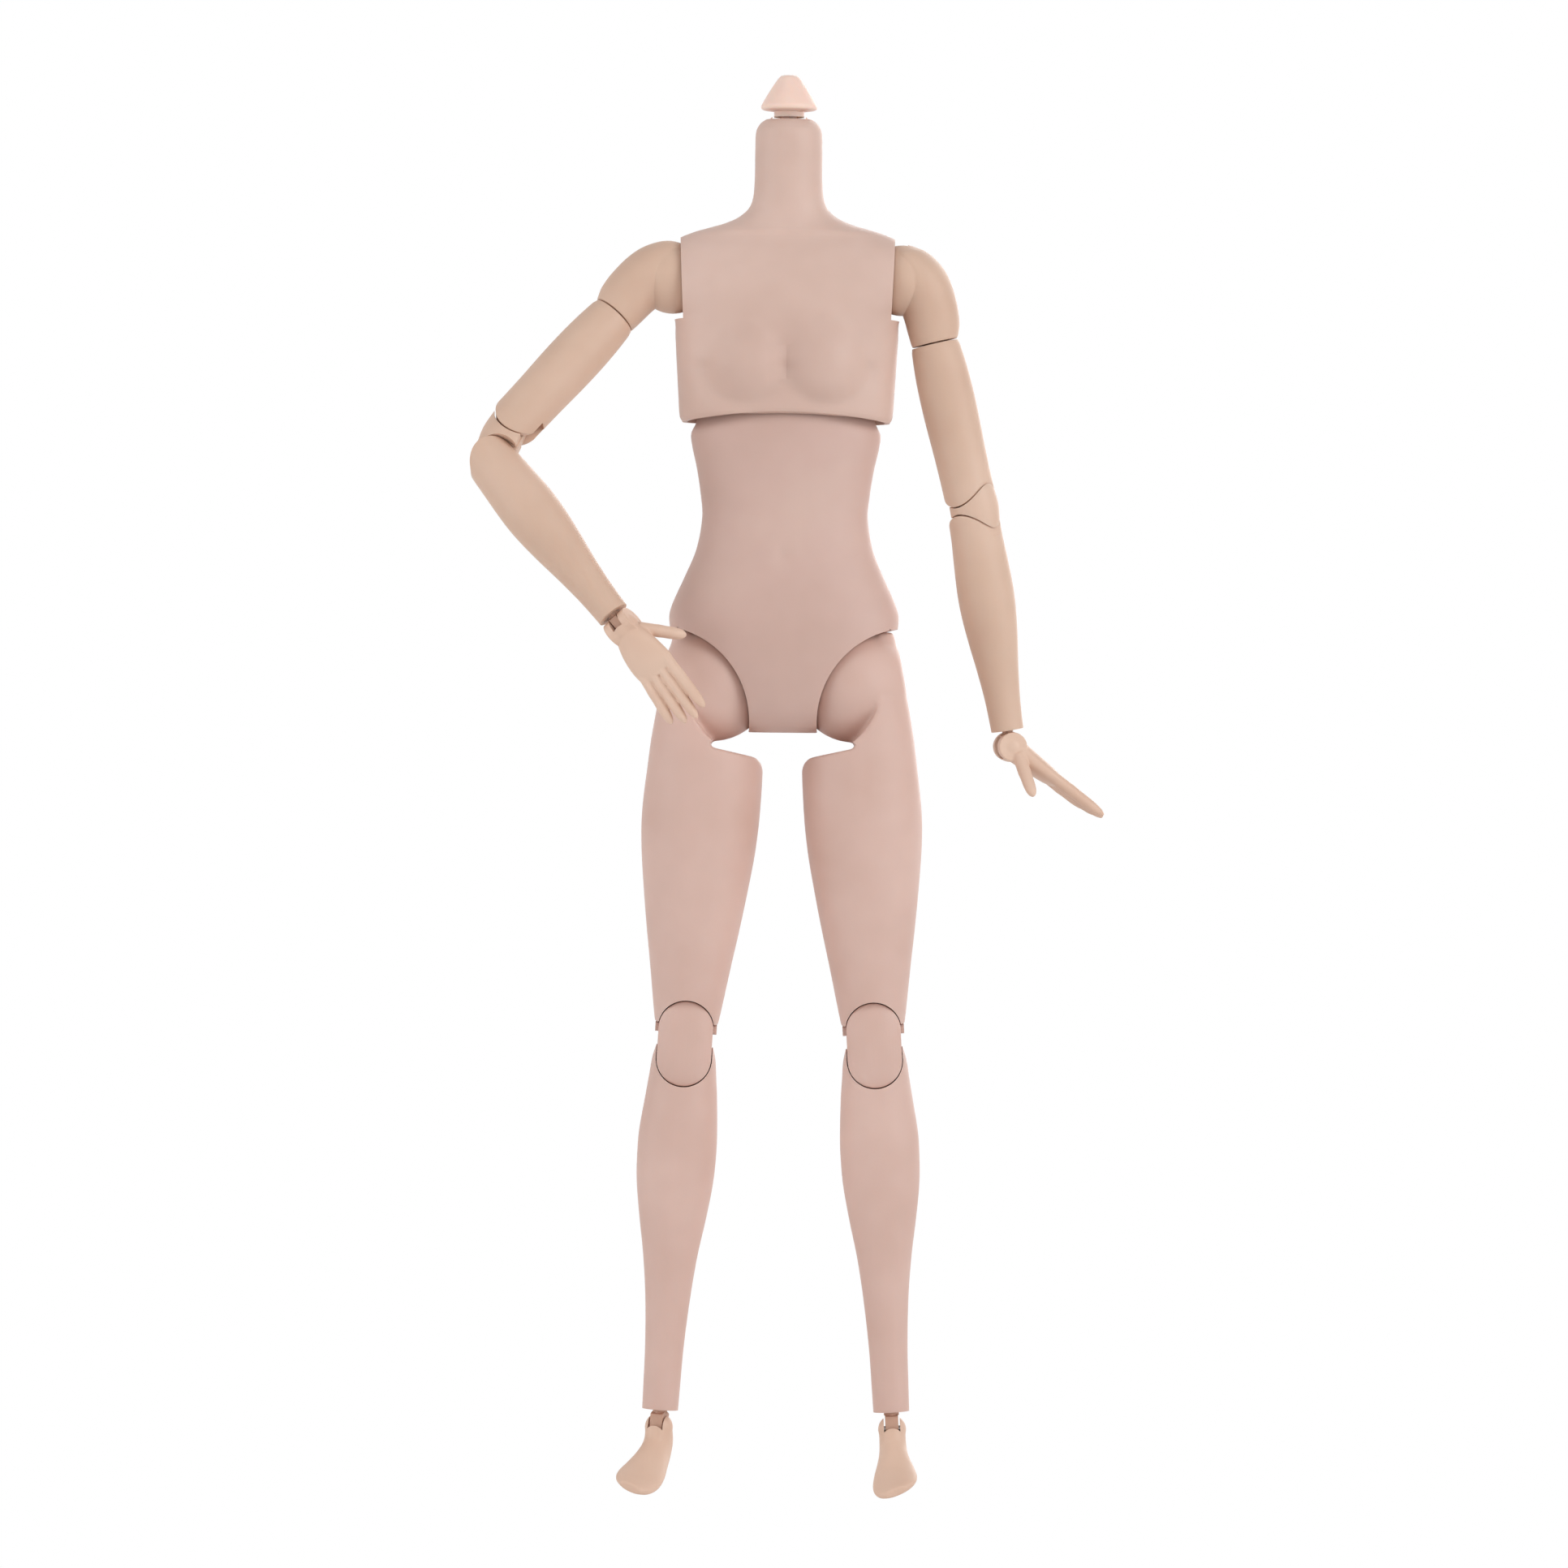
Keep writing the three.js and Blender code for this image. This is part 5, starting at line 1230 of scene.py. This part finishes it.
chest_front, chest_back = halves(chest_form(), "chest_front_shell", "chest_back_shell")
for shell, node in ((chest_front, "chest_front"), (chest_back, "chest_back")):
    finish_shell(shell)
    shell.data.transform(spine)
    wear(shell, TORSO_PLASTIC)
    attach(shell, "chest")
    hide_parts(node)

neck_z = CHEST_HEIGHT + NECK_HEIGHT - SPINE_PIVOT_TO_CHEST_EDGE - NECK_PIVOT_DROP
neck = joint_place(spine, 0, 0, neck_z, "Z", 0)
for form, name, body, node, material in (
    (collar_form(), "neck_collar_ring", "collar", "neck_collar", COLLAR_PLASTIC_AND_PAINTED_SHADE),
    (knob_form(), "neck_knob_cap", "knob", "neck_knob", KNOB_PLASTIC),
):
    finish_shell(form, FINE_LIP)
    form.data.transform(neck)
    form.name = name
    wear(form, material)
    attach(form, body)
    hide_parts(node)

forms = {
    "cap": finish_shell(cap_form()),
    "upper_arm": finish_shell(upper_arm_form()),
    "elbow_link": finish_shell(elbow_link_form(), FINE_LIP),
    "forearm": finish_shell(forearm_form()),
    "hand": finish_shell(hand_form(), 0),
    "thigh": finish_shell(thigh_form()),
    "knee_link": finish_shell(knee_link_form(), 0),
    "calf": finish_shell(calf_form()),
    "foot": finish_shell(foot_form(), 0),
}
for pose in (LEFT_POSE, RIGHT_POSE):
    side, label = pose["side"], pose["label"]
    shoulder_z = SHOULDER_HEIGHT - SPINE_PIVOT_TO_CHEST_EDGE
    cap = joint_place(joint_place(spine, SHOULDER_X, 0, shoulder_z, "X", pose["swing"], side),
                      0, 0, 0, "Y", -pose["lift"], side)
    upper = joint_place(cap, CAP_OUT, 0, -CAP_LENGTH - RUNNING_GAP, "Z", -pose["biceps"], side)
    elbow = joint_place(upper, 0, 0, -UPPER_ARM_LENGTH, "Y", pose["elbow_top"], side)
    forearm = joint_place(elbow, 0, 0, -ELBOW_SPACING, "Y", pose["elbow_low"], side)
    wrist = joint_place(forearm, 0, 0, -FOREARM_LENGTH - WRIST_DROP, "Z", -pose["wrist_turn"], side)
    hand = joint_place(wrist, 0, 0, 0, "X", pose["wrist_bend"], side)
    thigh = joint_place(joint_place(root, HIP_X, 0, -WAIST_TO_HIP, "X", 0, side),
                        0, 0, 0, "Y", -pose["leg_spread"], side)
    knee = joint_place(thigh, THIGH_OUT, 0, -KNEE_DROP, "X", 0, side)
    calf = joint_place(knee, 0, 0, -KNEE_SPACING, "X", 0, side)
    foot = joint_place(calf, 0, 0, -CALF_LENGTH - ANKLE_DROP, "Z", pose["ankle_turn"], side)
    for form, place, material, body, node, slot in (
        ("cap", cap, ARM_PLASTIC, "cap", "shoulder_cap", "arm"),
        ("upper_arm", upper, ARM_PLASTIC, "biceps", "upper_arm", "arm"),
        ("elbow_link", elbow, ARM_PLASTIC, "elbow", "elbow_link", "arm"),
        ("forearm", forearm, ARM_PLASTIC, "lower_arm", "forearm", "arm"),
        ("hand", hand, HAND_PLASTIC, "palm", "hand", "vinyl"),
        ("thigh", thigh, LEG_PLASTIC, "leg", "thigh", "skin"),
        ("knee_link", knee, LEG_PLASTIC, "knee", "knee_link", "vinyl"),
        ("calf", calf, LEG_PLASTIC, "shin", "calf", "skin"),
        ("foot", foot, HAND_PLASTIC, "sole", "foot", "vinyl"),
    ):
        settle(forms[form], f"{node}_{label}_moulding", place, side, material, f"{body}_{label}",
               [f"{node}_{label}"])
for form in forms.values():
    bpy.data.objects.remove(form)

# The hidden hardware keeps its own solids
for name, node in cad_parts.items():
    if name.startswith("knee_pin"):
        wear(node, LEG_PLASTIC)
    elif "pin" in name.split("_") or name == "hip_shaft":
        wear(node, PIN_STEEL)
    elif name.startswith(("spine_post", "shoulder_joint", "hip_swivel", "wrist_peg", "ankle_link")):
        wear(node, INNER_PLASTIC)


# Stage, light and camera
FLOOR_SIZE = 6
FLOOR_GAP = 0.002
ROOM_LIGHT = 0.35


# One for rays from the camera and for reflections, none for the light that falls on the body
def seen_or_reflected(nodes, links):
    seen = nodes.new("ShaderNodeLightPath")
    either = nodes.new("ShaderNodeMath")
    either.operation = "MAXIMUM"
    links.new(seen.outputs["Is Camera Ray"], either.inputs[0])
    links.new(seen.outputs["Is Glossy Ray"], either.inputs[1])
    return either.outputs["Value"]


def plain_stage():
    material, nodes, links, shader, _ = new_material("pale_backdrop")
    shader.inputs["Base Color"].default_value = (0.93, 0.93, 0.93, 1)
    shader.inputs["Roughness"].default_value = 0.9
    white = nodes.new("ShaderNodeEmission")
    white.inputs["Strength"].default_value = 1
    mix = nodes.new("ShaderNodeMixShader")
    links.new(seen_or_reflected(nodes, links), mix.inputs["Fac"])
    links.new(shader.outputs["BSDF"], mix.inputs[1])
    links.new(white.outputs["Emission"], mix.inputs[2])
    links.new(mix.outputs["Shader"], nodes["Material Output"].inputs["Surface"])
    object_mode()
    bpy.ops.mesh.primitive_plane_add(size=FLOOR_SIZE, location=(0, 0, cad_box[0][2] - FLOOR_GAP))
    floor = bpy.context.object
    floor.name = "floor"
    wear(floor, material)


def soft_light(name, place, aim, size, power):
    object_mode()
    bpy.ops.object.light_add(type="AREA", location=place)
    lamp = bpy.context.object
    lamp.name = name
    lamp.data.size = size
    lamp.data.energy = power
    lamp.rotation_euler = (Vector(aim) - Vector(place)).to_track_quat("-Z", "Y").to_euler()


def set_world():
    world = bpy.data.worlds.new("white_room")
    bpy.context.scene.world = world
    world.use_nodes = True
    nodes, links = world.node_tree.nodes, world.node_tree.links
    back = nodes["Background"]
    level = nodes.new("ShaderNodeMapRange")
    level.inputs["To Min"].default_value = ROOM_LIGHT
    level.inputs["To Max"].default_value = 1
    links.new(seen_or_reflected(nodes, links), level.inputs["Value"])
    links.new(level.outputs["Result"], back.inputs["Strength"])
    back.inputs["Color"].default_value = (1, 1, 1, 1)


plain_stage()
set_world()
soft_light("right_box", (1.05, -0.8, 0.38), (0, 0, -0.05), 1, 9.7)
soft_light("left_box", (-1.15, -0.5, 0.2), (0, 0, -0.05), 1, 7)
soft_light("top_box", (-0.1, -0.7, 1.1), (0, 0, 0), 0.8, 1.8)
soft_light("back_box", (0.5, 1.25, 0.45), (0, 0, -0.05), 1, 7)

# The photograph's frame: 1932 pixels at 0.15 mm each, seen level from the front, rolled a little
PHOTO_WIDTH = 1932 * 0.00015
CAMERA_DISTANCE = 1.6
CAMERA_ROLL = -0.6
CAMERA_SIDE = 0.00033
CAMERA_HEIGHT = -0.0492
SENSOR = 36
object_mode()
bpy.ops.object.camera_add(location=(CAMERA_SIDE, -CAMERA_DISTANCE, CAMERA_HEIGHT),
                          rotation=(radians(90), radians(CAMERA_ROLL), 0))
camera = bpy.context.object
camera.data.sensor_width = SENSOR
camera.data.lens = SENSOR * CAMERA_DISTANCE / PHOTO_WIDTH
bpy.context.scene.camera = camera
bpy.context.scene.view_settings.view_transform = "Standard"
